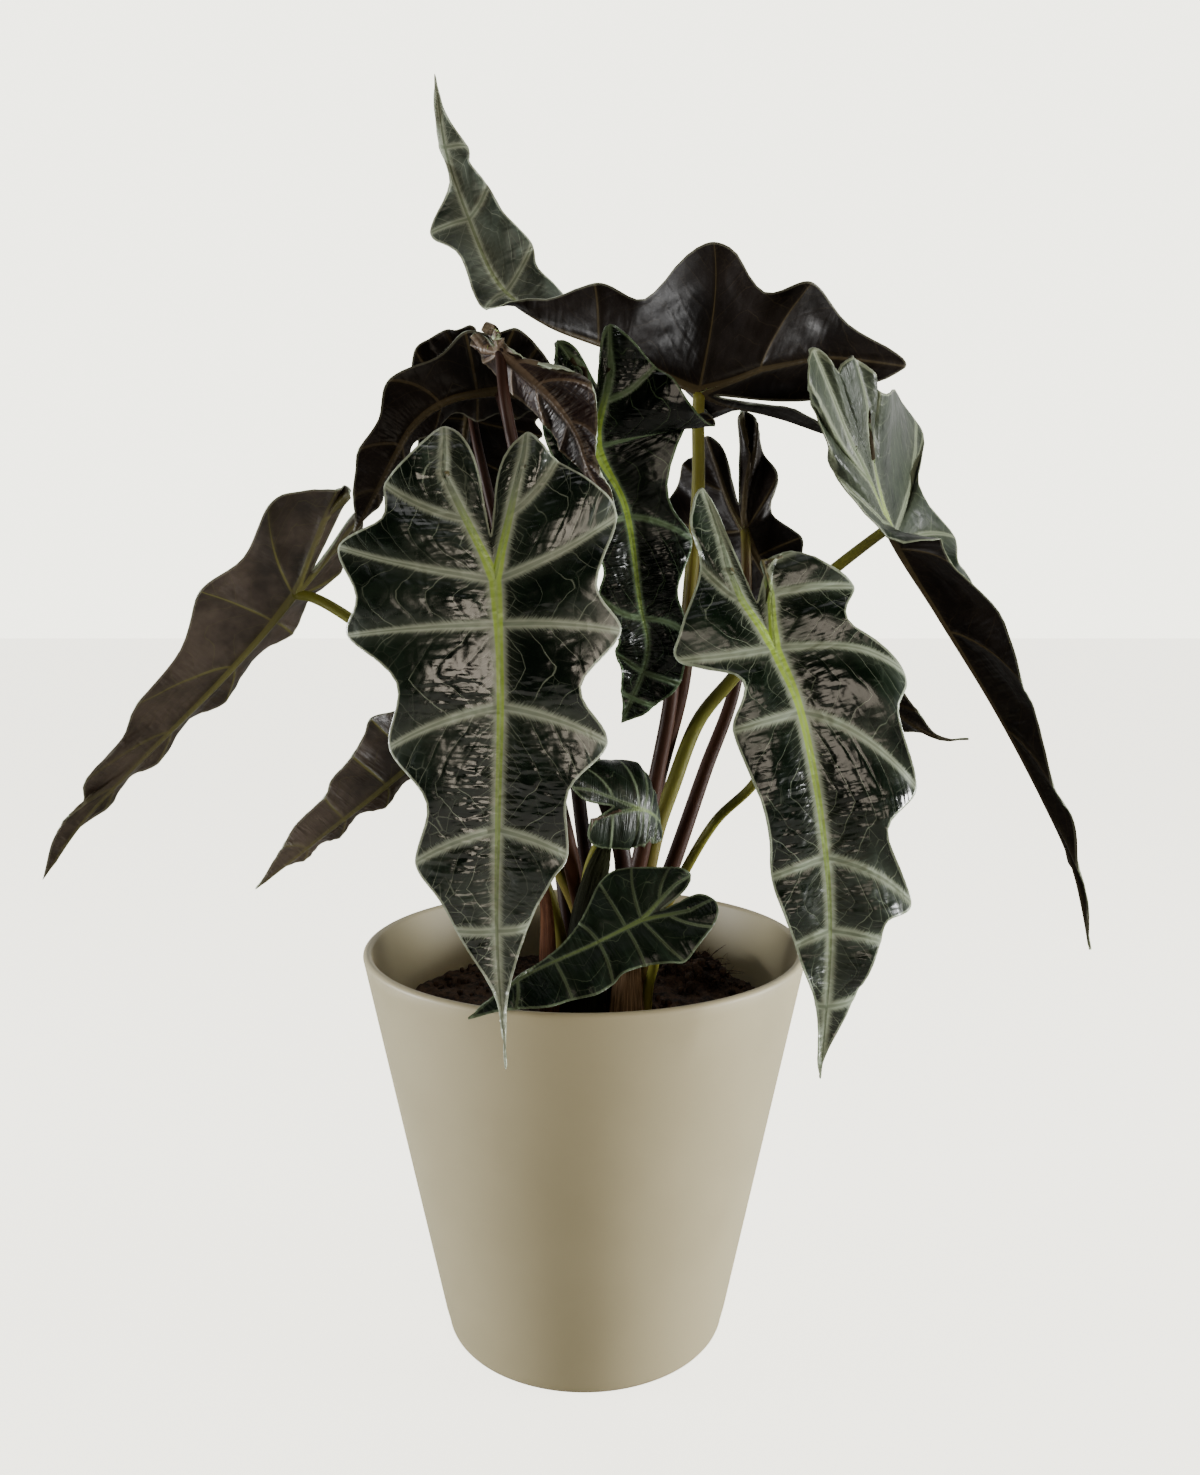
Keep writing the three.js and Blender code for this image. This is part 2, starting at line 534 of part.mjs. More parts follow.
// Papery sheaths: dry, hollow scales round the foot of the stems, each drawn out to a point.
const sheaths = {
  left: {
    path: [[-10, -13, 112], [-11.5, -16, 150], [-12, -21.5, 180], [-15, -27, 205]],
    reach: 7.5,
    facing: 225,
  },
  front: {
    path: [[16.5, -20, 112], [16.5, -21, 140], [17, -23, 160], [18, -26, 174]],
    reach: 10,
    facing: 270,
  },
  young: {
    path: [[-1.5, -17, 112], [-0.5, -17, 150], [1.5, -20.5, 178], [5, -30, 198], [9, -38, 213]],
    reach: 11.5,
    facing: 270,
  },
};
const sheathSpread = 110;

function sheath({ path, reach, facing }, thickness, grow = 0) {
  const rows = 8;
  const across = 4;
  const positions = [];
  const triangles = [];
  for (let i = 0; i <= rows; i += 1) {
    const share = i / rows;
    const centre = vec(through(path, share * (path.length - 1)));
    if (i === 0) centre.z -= grow;
    const widened = THREE.MathUtils.radToDeg(2 * grow / reach);
    const spread = sheathSpread * Math.sqrt(1 - share ** 2) + 6 + widened;
    for (let j = 0; j <= across; j += 1) {
      const angle = THREE.MathUtils.degToRad(facing + spread * (j / across - 0.5));
      const aside = new THREE.Vector3(Math.cos(angle), Math.sin(angle), 0);
      positions.push(centre.clone().addScaledVector(aside, reach * (1 - 0.5 * share)));
    }
  }
  for (let i = 0; i < rows; i += 1) {
    for (let j = 0; j < across; j += 1) {
      const a = i * (across + 1) + j;
      const b = a + across + 1;
      triangles.push([a, a + 1, b + 1], [a, b + 1, b]);
    }
  }
  return toSolid(thicken({ positions, triangles }, thickness));
}

// Planter and soil.

function planter() {
  const slope = (rimRadius - footRadius) / potHeight;
  const outside = (z) => footRadius + slope * z;
  const lip = potWall / 2;
  const profile = [
    [0, 0], [footRadius - footRound, 0], [footRadius - 1, 1.2], [outside(footRound), footRound],
    [outside(potHeight - lip), potHeight - lip], [outside(potHeight) - 0.4, potHeight - 0.5],
    [rimRadius - lip, potHeight], [outside(potHeight) - potWall + 0.4, potHeight - 0.5],
    [outside(potHeight - lip) - potWall, potHeight - lip],
    [outside(potFloor + 3) - potWall, potFloor + 3], [outside(potFloor) - potWall - 3, potFloor],
    [0, potFloor],
  ];
  const geometry = new THREE.LatheGeometry(profile.map(([r, z]) => new THREE.Vector2(r, z)), potSides);
  return toSolid(geometry.rotateX(Math.PI / 2));
}

function soilRise(x, y) {
  const far = Math.hypot(x - 14, y);
  const mound = moundHeight * Math.exp(-((far / 34) ** 2));
  const lump = clump.height * Math.exp(-((Math.hypot(x - clump.x, y - clump.y) / clump.reach) ** 4));
  const ripple = 1.2 * Math.sin(x / 6.5 + 0.7) * Math.cos(y / 5.5) + 0.6 * Math.sin((x + y) / 3.9);
  return mound + lump + ripple;
}

function filling() {
  const slope = (rimRadius - footRadius) / potHeight;
  const inside = (z) => footRadius + slope * z - potWall - gap;
  const bottom = potFloor + 4;
  const top = inside(soilTop - 4);
  const rings = 7;
  const profile = [new THREE.Vector2(0, bottom), new THREE.Vector2(inside(bottom) - 0.4, bottom)];
  profile.push(new THREE.Vector2(top - 0.4, soilTop - 4));
  for (let i = rings; i >= 0; i -= 1) profile.push(new THREE.Vector2(((top - 4) * i) / rings, soilTop));
  const geometry = new THREE.LatheGeometry(profile, soilSides).rotateX(Math.PI / 2);
  const position = geometry.attributes.position;
  for (let i = 0; i < position.count; i += 1) {
    if (position.getZ(i) > soilTop - 1) {
      const fade = Math.min(1, (top - Math.hypot(position.getX(i), position.getY(i))) / 12);
      position.setZ(i, soilTop + fade * soilRise(position.getX(i), position.getY(i)));
    }
  }
  return toSolid(geometry);
}

// Scene graph.

const plant = new THREE.Group();

function addPart(name, geometry, look) {
  const mesh = new THREE.Mesh(geometry, new THREE.MeshStandardMaterial(looks[look]));
  mesh.name = name;
  plant.add(mesh);
}

let soil = filling();
addPart('planter', toGeometry(planter()), 'pot');
for (const [name, leaf] of Object.entries(leaves)) {
  const blade = new Blade(leaf);
  addPart(`leaf_${name}`, toGeometry(toSolid(blade.solid(bladeThickness))), 'blade');
  const cut = toSolid(blade.solid(bladeThickness + 2 * gap));
  addPart(`stem_${name}`, toGeometry(largestPiece(stem(leaf).subtract(cut))), 'stem');
  soil = soil.subtract(stem(leaf, 1.5 * gap));
}
for (const [name, scale] of Object.entries(sheaths)) {
  addPart(`sheath_${name}`, toGeometry(sheath(scale, bladeThickness)), 'sheath');
  soil = soil.subtract(sheath(scale, bladeThickness + 2 * gap, 2 * gap));
}
addPart('soil', toGeometry(largestPiece(soil)), 'soil');

export default plant;
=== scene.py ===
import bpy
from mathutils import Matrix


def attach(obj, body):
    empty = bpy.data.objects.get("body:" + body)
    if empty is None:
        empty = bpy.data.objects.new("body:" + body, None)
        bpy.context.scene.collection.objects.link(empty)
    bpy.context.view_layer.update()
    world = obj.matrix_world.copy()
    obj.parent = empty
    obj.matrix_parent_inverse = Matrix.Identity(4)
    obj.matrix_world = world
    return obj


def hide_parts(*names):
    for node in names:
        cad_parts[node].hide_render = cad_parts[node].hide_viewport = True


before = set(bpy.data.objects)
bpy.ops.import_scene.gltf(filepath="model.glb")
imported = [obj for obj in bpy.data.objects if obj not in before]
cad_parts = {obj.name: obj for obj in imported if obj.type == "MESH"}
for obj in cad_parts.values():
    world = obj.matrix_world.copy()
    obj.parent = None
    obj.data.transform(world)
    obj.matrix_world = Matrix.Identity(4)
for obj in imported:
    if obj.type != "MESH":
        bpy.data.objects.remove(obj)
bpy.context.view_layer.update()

import math

import bpy
import numpy as np
from mathutils import Vector, noise

# Lengths are in millimetres and become metres when a mesh is made. The planter's foot stands on
# z = 0, its axis is x = y = 0, and the portrait looks along +Y.

MM = 0.001

# Planter
rim_radius = 90
foot_radius = 57
pot_height = 161
pot_wall = 3.5
pot_floor = 6
pot_sides = 160
foot_hollow = 1.2
foot_ring = 7.5
foot_rounding = 3.6
wall_rows = 16

# Filling
soil_top = 132
soil_crust = 4
soil_slope = 12
soil_sides, soil_rings = 230, 74
mound_x, mound_reach, mound_height = 14, 34, 5
clump_x, clump_y, clump_reach, clump_height = 46, 30, 17, 9
crumb_count = 520
fibre_count = 260
gap = 0.3

# Plant
blade_thickness = 0.9
stem_depth = 26
stem_sides = 18
stem_steps, stem_rings = 60, 90
stem_fitted_from = 0.85

# Each half of a blade is an outline of 17 points: out from the midrib and along it from the
# junction, both in thousandths of the midrib's length. Points 0, 2, 4 ... are where the side
# veins end, and roots are where they leave the midrib.
table_scale = 1000
plain_roots = [
    [0, 1000], [0, 700], [0, 490], [0, 250], [0, 90], [0, 0], [45, -130], [80, -235],
]
plain_edge = [
    [0, 1000], [12, 880], [85, 765], [122, 670], [155, 585], [138, 450], [215, 350], [190, 200],
    [275, 105], [250, 5], [275, -100], [235, -175], [195, -235], [150, -280], [95, -315],
    [45, -250], [0, -85],
]

# A spine runs from the lobes' end of the midrib to its tip, with the junction second, and faces
# point out of the upper side along it. width is for the right and left half, lobes stretches what
# lies behind the junction, fold and bend are in degrees, wave is a share of the midrib's length.
# A stem starts at its root on the soil and has a radius there and at its blade.
leaves = dict(
    front_left=dict(
        spine=[[-32, -84, 342], [-27, -98, 306], [-25, -106, 272], [-26, -108, 231],
            [-27, -104, 191], [-25, -100, 146]],
        faces=[[0, -1, 0.45], [0, -1, 0.25], [0, -1, 0.1], [0, -1, 0], [0, -1, 0], [0.1, -1, 0]],
        right=[[0, 1000], [14, 855], [63, 690], [114, 578], [139, 535], [139, 405], [211, 314],
            [158, 216], [239, 118], [198, 36], [255, -100], [218, -163], [151, -237], [127, -268],
            [96, -308], [37, -237], [0, -95]],
        left=[[0, 1000], [6, 850], [81, 700], [114, 626], [161, 561], [138, 437], [215, 336],
            [198, 203], [298, 92], [269, 17], [305, -113], [208, -147], [198, -228], [148, -270],
            [67, -344], [15, -267], [0, -95]],
        fold=[12, 12], bend=20,
        stem=[[3, -10], [2, -12, 160], [-6, -28, 205], [-14, -48, 246], [-22, -70, 284],
            [-27, -88, 304]],
        radii=[4.4, 2.2],
    ),
    front_right=dict(
        spine=[[54, -78, 310], [63, -88, 284], [71, -94, 263], [78, -98, 226], [82, -94, 188],
            [81, -88, 138]],
        faces=[[0.1, -1, 0.4], [0.15, -1, 0.3], [0.15, -1, 0.2], [0.1, -1, 0.1], [0.1, -1, 0],
            [0.2, -1, 0]],
        roots=[[0, 1000], [0, 820], [0, 640], [0, 470], [0, 150], [0, 0], [35, -120], [40, -200]],
        right=[[0, 1000], [12, 925], [64, 808], [90, 728], [117, 674], [125, 621], [185, 596],
            [137, 427], [225, 355], [207, 197], [262, 130], [174, -11], [229, -90], [180, -147],
            [114, -206], [50, -181], [0, -114]],
        left=[[0, 1000], [16, 918], [21, 821], [60, 741], [78, 669], [114, 568], [125, 492],
            [129, 351], [158, 154], [107, 45], [217, -31], [191, -92], [94, -226], [89, -327],
            [20, -410], [12, -260], [0, -114]],
        fold=[10, 12], bend=20,
        stem=[[22, -11], [24, -13, 158], [38, -20, 192], [50, -30, 216], [63, -46, 234],
            [68, -60, 255], [67, -76, 275]],
        radii=[2.4, 1.5],
    ),
    right=dict(
        spine=[[94, -60, 359], [115, -22, 327], [138, -12, 295], [163, -6, 258], [185, -3, 220],
            [200, 0, 190], [208, 0, 157]],
        faces=[[0.3, -0.9, 0.3], [0.5, -0.7, 0.45], [0.62, -0.55, 0.54]] + [[0.84, 0, 0.54]] * 4,
        roots=[[0, 1000], [0, 700], [0, 490], [0, 250], [0, 50], [0, 20], [20, -150], [30, -250]],
        right=[[0, 1000], [6, 930], [30, 820], [22, 740], [70, 640], [60, 520], [151, 250],
            [114, 162], [184, 136], [154, 21], [335, 0], [110, -235], [95, -280], [80, -320],
            [65, -370], [30, -400], [0, -400]],
        left=[[0, 1000], [6, 930], [22, 820], [36, 720], [55, 620], [70, 480], [115, 380],
            [120, 240], [110, 100], [90, -30], [85, -240], [90, -330], [70, -400], [83, -470],
            [30, -476], [16, -440], [0, -400]],
        fold=[
            [[-0.4, 0], [0, 5], [0.15, 15], [0.3, 28], [0.4, 30]],
            [[-0.3, -8], [-0.05, 10], [0.04, 75], [0.25, 60], [0.4, 30]],
        ],
        bend=5,
        stem=[[22, -1], [22, -2, 165], [28, -4.5, 204], [35.5, -3, 226], [46, 0, 252],
            [60, -2, 270], [77, -6, 294], [97, -12, 312], [110, -19, 323]],
        radii=[4.2, 2],
    ),
    top=dict(
        spine=[[82, -22, 370], [42, -35, 375], [14, -15, 393], [-14, 2, 407], [-34, 14, 424],
            [-47, 22, 453], [-56, 28, 480], [-61, 34, 512]],
        faces=[[0.27, 0.64, 0.77], [0.27, 0.64, 0.77], [0.3, 0.55, 0.85], [0.35, 0, 0.93],
            [0.1, -0.9, 0.4], [0, -1, 0.1], [0, -1, -0.1], [0, -1, -0.1]],
        roots=[[0, 1000], [0, 840], [0, 680], [0, 500], [0, 250], [0, 0], [60, -100], [100, -220]],
        right=[[0, 1000], [10, 932], [11, 854], [12, 761], [83, 682], [47, 600], [63, 482],
            [45, 400], [115, 257], [104, 176], [246, 56], [189, -77], [224, -150], [164, -259],
            [116, -386], [22, -235], [0, -30]],
        left=[[0, 1000], [10, 923], [43, 834], [44, 784], [60, 735], [70, 660], [100, 580],
            [85, 480], [140, 360], [140, 220], [220, 100], [180, -20], [220, -120], [170, -200],
            [120, -330], [50, -200], [0, -30]],
        fold=[[[0, 38], [0.35, 30], [0.5, 10]]] * 2,
        bend=8,
        stem=[[13, 3], [15, 4, 160], [23, 4.5, 194], [29.5, 3, 227], [39, -4, 268], [41, -12, 304],
            [43, -22, 341], [42, -31, 366]],
        radii=[4.4, 2.2],
    ),
    left=dict(
        spine=[[-76, -32, 345], [-113, -10, 302], [-145, -5, 268], [-176, -5, 238], [-200, -8, 213],
            [-216, -12, 189]],
        faces=[[-0.55, 0.72, 0.55]] * 5 + [[-0.3, 0.8, 0.5]],
        right=[[0, 1000], [46, 903], [59, 816], [42, 776], [108, 718], [107, 583], [175, 480],
            [189, 299], [297, 125], [234, -18], [276, -203], [196, -265], [99, -324], [70, -330],
            [50, -330], [30, -250], [0, -85]],
        width=[0.66, 0.3], fold=[17, 17], bend=8,
        stem=[[3, 1], [0, 1, 165], [-12, -2, 195], [-30, -6, 225], [-52, -10, 256], [-75, -14, 280],
            [-91, -14, 293], [-106, -11, 301]],
        radii=[4.2, 2],
    ),
    low_left=dict(
        spine=[[-42, -34, 266], [-58, -34, 246], [-77, -34, 229], [-100, -32, 211],
            [-126, -30, 190]],
        faces=[[-0.4, 0.7, 0.6]] * 5,
        right=[[0, 1000], [38, 898], [119, 754], [154, 646], [200, 467], [240, 397], [297, 248],
            [329, 153], [407, 65], [308, -20], [275, -100], [235, -175], [195, -235], [150, -280],
            [95, -315], [45, -250], [0, -85]],
        width=[0.75, 0.6], bend=8,
        stem=[[-7, -6], [-9, -8, 160], [-18, -17, 195], [-32, -27, 222], [-48, -35, 241]],
        radii=[3, 1.8],
    ),
    middle=dict(
        spine=[[5, -62, 374], [5, -60, 352], [15, -58, 331], [20, -52, 300], [23, -46, 280],
            [14, -42, 255]],
        faces=[[0.1, -1, 0.3], [0.1, -1, 0.2], [0.1, -1, 0.1], [0.1, -1, 0.05], [0.1, -1, 0],
            [0, -1, 0.1]],
        roots=[[0, 1000], [0, 900], [0, 800], [0, 600], [0, 250], [0, 0], [30, -150], [50, -250]],
        right=[[0, 1000], [57, 945], [85, 897], [115, 844], [139, 802], [136, 733], [150, 696],
            [134, 514], [205, 361], [156, 199], [420, 0], [270, -197], [193, -259], [102, -351],
            [40, -390], [14, -330], [0, -200]],
        left=[[0, 1000], [20, 950], [50, 900], [100, 820], [140, 740], [140, 620], [170, 500],
            [150, 400], [200, 250], [170, 100], [220, -80], [180, -200], [172, -256], [180, -295],
            [160, -337], [90, -310], [0, -200]],
        width=[1, 0.8], bend=20, wave=0.02,
        stem=[[12.5, -7], [14, -8, 163], [22, -10, 197], [28, -12, 229], [34, -18, 269],
            [32, -26, 305], [24, -38, 335], [11, -52, 350]],
        radii=[4, 2],
    ),
    back_right=dict(
        spine=[[63, 35, 367], [67, 30, 329], [90, 28, 291], [120, 26, 262], [146, 24, 243],
            [161, 20, 242]],
        faces=[[0.2, 0.8, 0.5]] * 6,
        left=[[0, 1000], [12, 900], [90, 800], [122, 700], [170, 600], [138, 450], [215, 350],
            [190, 200], [275, 105], [170, -29], [229, -160], [150, -250], [130, -330], [80, -375],
            [40, -360], [20, -270], [0, -85]],
        width=[0.9, 0.55], wave=0.02,
        stem=[[22, 9], [25, 9, 159], [37, 11, 192], [50, 16, 229], [62, 20, 262], [67, 24, 300],
            [67, 27, 322]],
        radii=[4.2, 2],
    ),
    small_upper=dict(
        spine=[[6, -52, 226], [20, -48, 224], [25, -43, 221], [28, -38, 217], [29, -33, 212]],
        faces=[[-0.2, -1, 0.3], [-0.2, -1, 0.3], [0.5, -1, 0.5], [0.7, -0.5, 0.5],
            [0.7, -0.3, 0.5]],
        right=[[0, 1000], [12, 880], [85, 765], [122, 670], [155, 585], [138, 450], [215, 350],
            [230, 250], [281, 150], [300, -8], [336, -92], [274, -206], [232, -274], [142, -337],
            [86, -331], [20, -270], [0, -128]],
        left=[[0, 1000], [12, 880], [85, 765], [122, 670], [155, 585], [138, 450], [200, 400],
            [190, 320], [220, 260], [220, 180], [240, 100], [240, -17], [252, -116], [232, -198],
            [173, -236], [80, -210], [0, -128]],
        width=[2.9, 2.9], lobes=3.45, fold=[10, 10], bend=20, wave=0.03,
        stem=[[4, -20], [0.5, -21.5, 150], [-1, -23.5, 174], [2, -31, 200], [10, -42, 216]],
        radii=[2.2, 1.4],
    ),
    small_lower=dict(
        spine=[[39, -56, 194], [21, -62, 186], [3, -70, 179], [-20, -80, 171], [-38, -93, 161]],
        faces=[[0, -0.8, 0.7]] * 5,
        right=[[0, 1000], [50, 913], [110, 800], [199, 660], [215, 501], [245, 392], [227, 295],
            [208, 233], [218, 115], [266, 8], [294, -75], [260, -171], [205, -288], [159, -351],
            [78, -373], [15, -305], [0, -116]],
        left=[[0, 1000], [8, 894], [15, 752], [20, 640], [42, 508], [78, 397], [141, 285],
            [193, 201], [293, 74], [307, -8], [287, -106], [224, -192], [188, -279], [134, -326],
            [91, -343], [33, -271], [0, -116]],
        fold=[8, 8], bend=15,
        stem=[[24, -21], [25, -24, 148], [27, -36, 164], [24, -52, 178]],
        radii=[2.4, 1.6],
    ),
    curled=dict(
        spine=[[-39, -66, 395], [-27, -70, 382], [-11, -74, 367], [-2, -76, 355], [3, -77, 342],
            [12, -74, 327]],
        faces=[[0.3, 0.9, 0.4]] * 3 + [[0.4, 0.8, 0.3], [0.6, 0.7, 0.2], [0.8, 0.5, 0]],
        right=[[0, 1000], [18, 887], [50, 781], [140, 681], [179, 570], [200, 454], [170, 398],
            [200, 265], [179, 162], [190, 28], [149, -144], [160, -300], [113, -430], [80, -480],
            [40, -460], [19, -300], [0, -85]],
        left=[[0, 1000], [54, 878], [74, 779], [60, 685], [125, 606], [182, 513], [260, 448],
            [232, 358], [151, 274], [80, 156], [60, 64], [50, -84], [55, -171], [59, -300],
            [35, -400], [14, -300], [0, -85]],
        width=[0.75, 0.75], lobes=0.35, fold=[20, 20], bend=20, wave=0.02,
        stem=[[12, -17], [13, -20, 160], [15, -26, 200], [7, -32, 228], [-1, -49, 256],
            [-8, -64, 290], [-18, -71, 330], [-25, -76, 364]],
        radii=[4.2, 1.8],
    ),
    back_left=dict(
        spine=[[-37, 8, 400], [-45, 4, 378], [-49, 4, 347], [-52, 4, 316], [-54, 4, 292]],
        faces=[[-0.2, 1, 0.3]] * 5,
        width=[1.1, 1.3], fold=[10, 10], wave=0.02,
        stem=[[-5, 7], [-7, 8, 165], [-14, 8, 215], [-24, 4, 270], [-34, -2, 325], [-42, -4, 362]],
        radii=[3.6, 1.8],
    ),
    upper_left=dict(
        spine=[[-15, -40, 374], [-30, -40, 374], [-47, -42, 371], [-60, -44, 362], [-70, -44, 346],
            [-87, -38, 317]],
        faces=[[-0.3, 0.8, 0.5]] * 3 + [[-0.4, 0.8, 0.4], [-0.5, 0.8, 0.3], [-0.5, 0.8, 0.3]],
        width=[0.9, 0.5], lobes=0.7, fold=[20, 20],
        stem=[[4, 11], [3, 8, 165], [-2, 2, 215], [-8, -10, 265], [-16, -26, 315], [-26, -44, 360]],
        radii=[3.6, 1.8],
    ),
)


# Small helpers.

tiny = 1e-9


def through(rows, t):
    """Points of a smooth line through rows of numbers; t runs from 0 to the last row."""
    rows = np.asarray(rows, float)
    last = len(rows) - 1
    t = np.clip(np.asarray(t, float), 0, last)
    i = np.minimum(t.astype(int), last - 1)
    u = (t - i)[..., None]
    p1, p2 = rows[i], rows[i + 1]
    p0 = np.where((i > 0)[..., None], rows[np.maximum(i - 1, 0)], 2 * p1 - p2)
    p3 = np.where((i < last - 1)[..., None], rows[np.minimum(i + 2, last)], 2 * p2 - p1)
    bend = 2 * p0 - 5 * p1 + 4 * p2 - p3
    twist = -p0 + 3 * p1 - 3 * p2 + p3
    return 0.5 * (2 * p1 + (p2 - p0) * u + bend * u * u + twist * u ** 3)


def along(value, share):
    """A value that changes along the midrib: one number, or [share, value] steps."""
    if np.isscalar(value):
        return np.full(np.shape(share), float(value))
    steps = np.asarray(value, float)
    return np.interp(share, steps[:, 0], steps[:, 1])


def unit(vectors):
    return vectors / np.maximum(np.linalg.norm(vectors, axis=-1, keepdims=True), tiny)


def bell(distance, reach):
    """1 at no distance, falling to 0 a few reaches away."""
    return np.exp(-((distance / reach) ** 2))


def distance_to_line(points, line):
    """Shortest distance from each flat point to a line of flat points."""
    start, step = line[:-1], np.diff(line, axis=0)
    offset = points[:, None, :] - start[None]
    share = np.clip((offset * step).sum(-1) / np.maximum((step ** 2).sum(-1), tiny), 0, 1)
    return np.linalg.norm(offset - share[..., None] * step, axis=-1).min(axis=1)


def bumpy(points, size, seed=0.0):
    """Smooth noise from -1 to 1 at each point, with lumps of the given size."""
    return np.array([noise.noise(Vector(p / size) + Vector((seed, seed, seed))) for p in points])


def tube_faces(rings, sides, start=0):
    """Sides and both ends of a tube whose points go round ring after ring, from point start."""
    faces = []
    for i in range(rings - 1):
        for j in range(sides):
            a, b = start + i * sides + j, start + i * sides + (j + 1) % sides
            faces.append([a, b, b + sides, a + sides])
    faces.append([start + j for j in range(sides)][::-1])
    faces.append([start + (rings - 1) * sides + j for j in range(sides)])
    return faces


def linked(name, data):
    """An object in the scene."""
    made = bpy.data.objects.new(name, data)
    bpy.context.scene.collection.objects.link(made)
    return made


def add_piece(name, points, faces, finishes, slot, nodes=(), face_finish=None, maps=None):
    """A smooth mesh from millimetres, riding with the plant and standing for its CAD nodes."""
    mesh = bpy.data.meshes.new(name)
    mesh.from_pydata((np.asarray(points) * MM).tolist(), [], [tuple(map(int, f)) for f in faces])
    for finish in finishes:
        mesh.materials.append(finish)
    if face_finish is not None:
        mesh.polygons.foreach_set("material_index", np.asarray(face_finish, np.int32))
    for title, (domain, values) in (maps or {}).items():
        layer = mesh.attributes.new(title, "FLOAT_VECTOR", domain)
        layer.data.foreach_set("vector", np.asarray(values, np.float32).ravel())
    mesh.shade_smooth()
    mesh.validate()
    piece = linked(name, mesh)
    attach(piece, "root")
    if nodes:
        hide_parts(*nodes)


# Finishes.


class Wiring:
    """Short calls for the nodes of one material or node group."""

    def __init__(self, tree):
        self.tree = tree

    def node(self, kind, **settings):
        made = self.tree.nodes.new("ShaderNode" + kind)
        for key, value in settings.items():
            setattr(made, key, value)
        return made

    def plug(self, socket, value):
        """Links a socket or sets its value; a colour is given as its three numbers."""
        if isinstance(value, bpy.types.NodeSocket):
            self.tree.links.new(value, socket)
        elif isinstance(value, tuple):
            socket.default_value = (*value, 1)
        elif value is not None:
            socket.default_value = value

    def fed(self, made, *values):
        """Plugs values into a node's first inputs and gives its first output."""
        for socket, value in zip(made.inputs, values):
            self.plug(socket, value)
        return made.outputs[0]

    def filled(self, made, **values):
        """Plugs values into a node's inputs by their titles and gives its outputs."""
        for title, value in values.items():
            self.plug(made.inputs[title.replace("_", " ").capitalize()], value)
        return made.outputs

    def group(self, tree, **values):
        return self.filled(self.node("Group", node_tree=tree), **values)

    def math(self, operation, *values):
        return self.fed(self.node("Math", operation=operation), *values)

    def times(self, a, b, added=None):
        """a times b, with something added if it is given."""
        if added is None:
            return self.math("MULTIPLY", a, b)
        return self.math("MULTIPLY_ADD", a, b, added)

    def largest(self, value, *others):
        for other in others:
            value = self.math("MAXIMUM", value, other)
        return value

    def zigzag(self, value):
        """0.5 where value is whole, 0 halfway between."""
        return self.math("ABSOLUTE", self.math("SUBTRACT", self.math("FRACT", value), 0.5))

    def fade(self, value, start, end, low=0.0, high=1.0):
        """Goes smoothly from low to high as value goes from start to end."""
        made = self.node("MapRange", interpolation_type="SMOOTHSTEP")
        return self.fed(made, value, start, end, low, high)

    def joined(self, x, y=0.0, z=0.0):
        return self.fed(self.node("CombineXYZ"), x, y, z)

    def mapped(self, title):
        """The three numbers that a mesh keeps under this title."""
        read = self.node("Attribute", attribute_name=title)
        split = self.node("SeparateXYZ")
        self.plug(split.inputs[0], read.outputs["Vector"])
        return tuple(split.outputs)

    def noise(self, place, scale, detail=3.0, roughness=0.55):
        made = self.node("TexNoise")
        return self.filled(made, vector=place, scale=scale, detail=detail, roughness=roughness)[0]

    def grain(self, scale, detail=3.0, roughness=0.55):
        """Noise that keeps to the object."""
        return self.noise(self.node("TexCoord").outputs["Object"], scale, detail, roughness)

    def bump(self, height, distance, strength, normal=None):
        made = self.node("Bump")
        return self.filled(
            made, height=height, distance=distance, strength=strength, normal=normal)[0]

    def mix(self, share, a, b):
        made = self.node("Mix", data_type="RGBA")
        self.plug(made.inputs[0], share)
        self.plug(made.inputs[6], a)
        self.plug(made.inputs[7], b)
        return made.outputs[2]

    def painted(self, body, *coats):
        """A colour under coats of (mask, strength, colour)."""
        for mask, strength, colour in coats:
            body = self.mix(self.times(mask, strength), body, colour)
        return body


def new_group(name, inputs, outputs):
    """An empty node group with number inputs and outputs; gives its wiring and both ends."""
    tree = bpy.data.node_groups.new(name, "ShaderNodeTree")
    for title, value in inputs.items():
        socket = tree.interface.new_socket(title, in_out="INPUT", socket_type="NodeSocketFloat")
        socket.default_value = value
    for title in outputs:
        tree.interface.new_socket(title, in_out="OUTPUT", socket_type="NodeSocketFloat")
    source = tree.nodes.new("NodeGroupInput")
    sink = tree.nodes.new("NodeGroupOutput")
    return Wiring(tree), source.outputs, sink.inputs


def new_finish(name, sheen=None, roughness=None):
    """A material, its wiring and the inputs of its shader."""
    finish = bpy.data.materials.new(name)
    finish.use_nodes = True
    w = Wiring(finish.node_tree)
    shader = finish.node_tree.nodes["Principled BSDF"].inputs
    w.plug(shader["Specular IOR Level"], sheen)
    w.plug(shader["Roughness"], roughness)
    return finish, w, shader


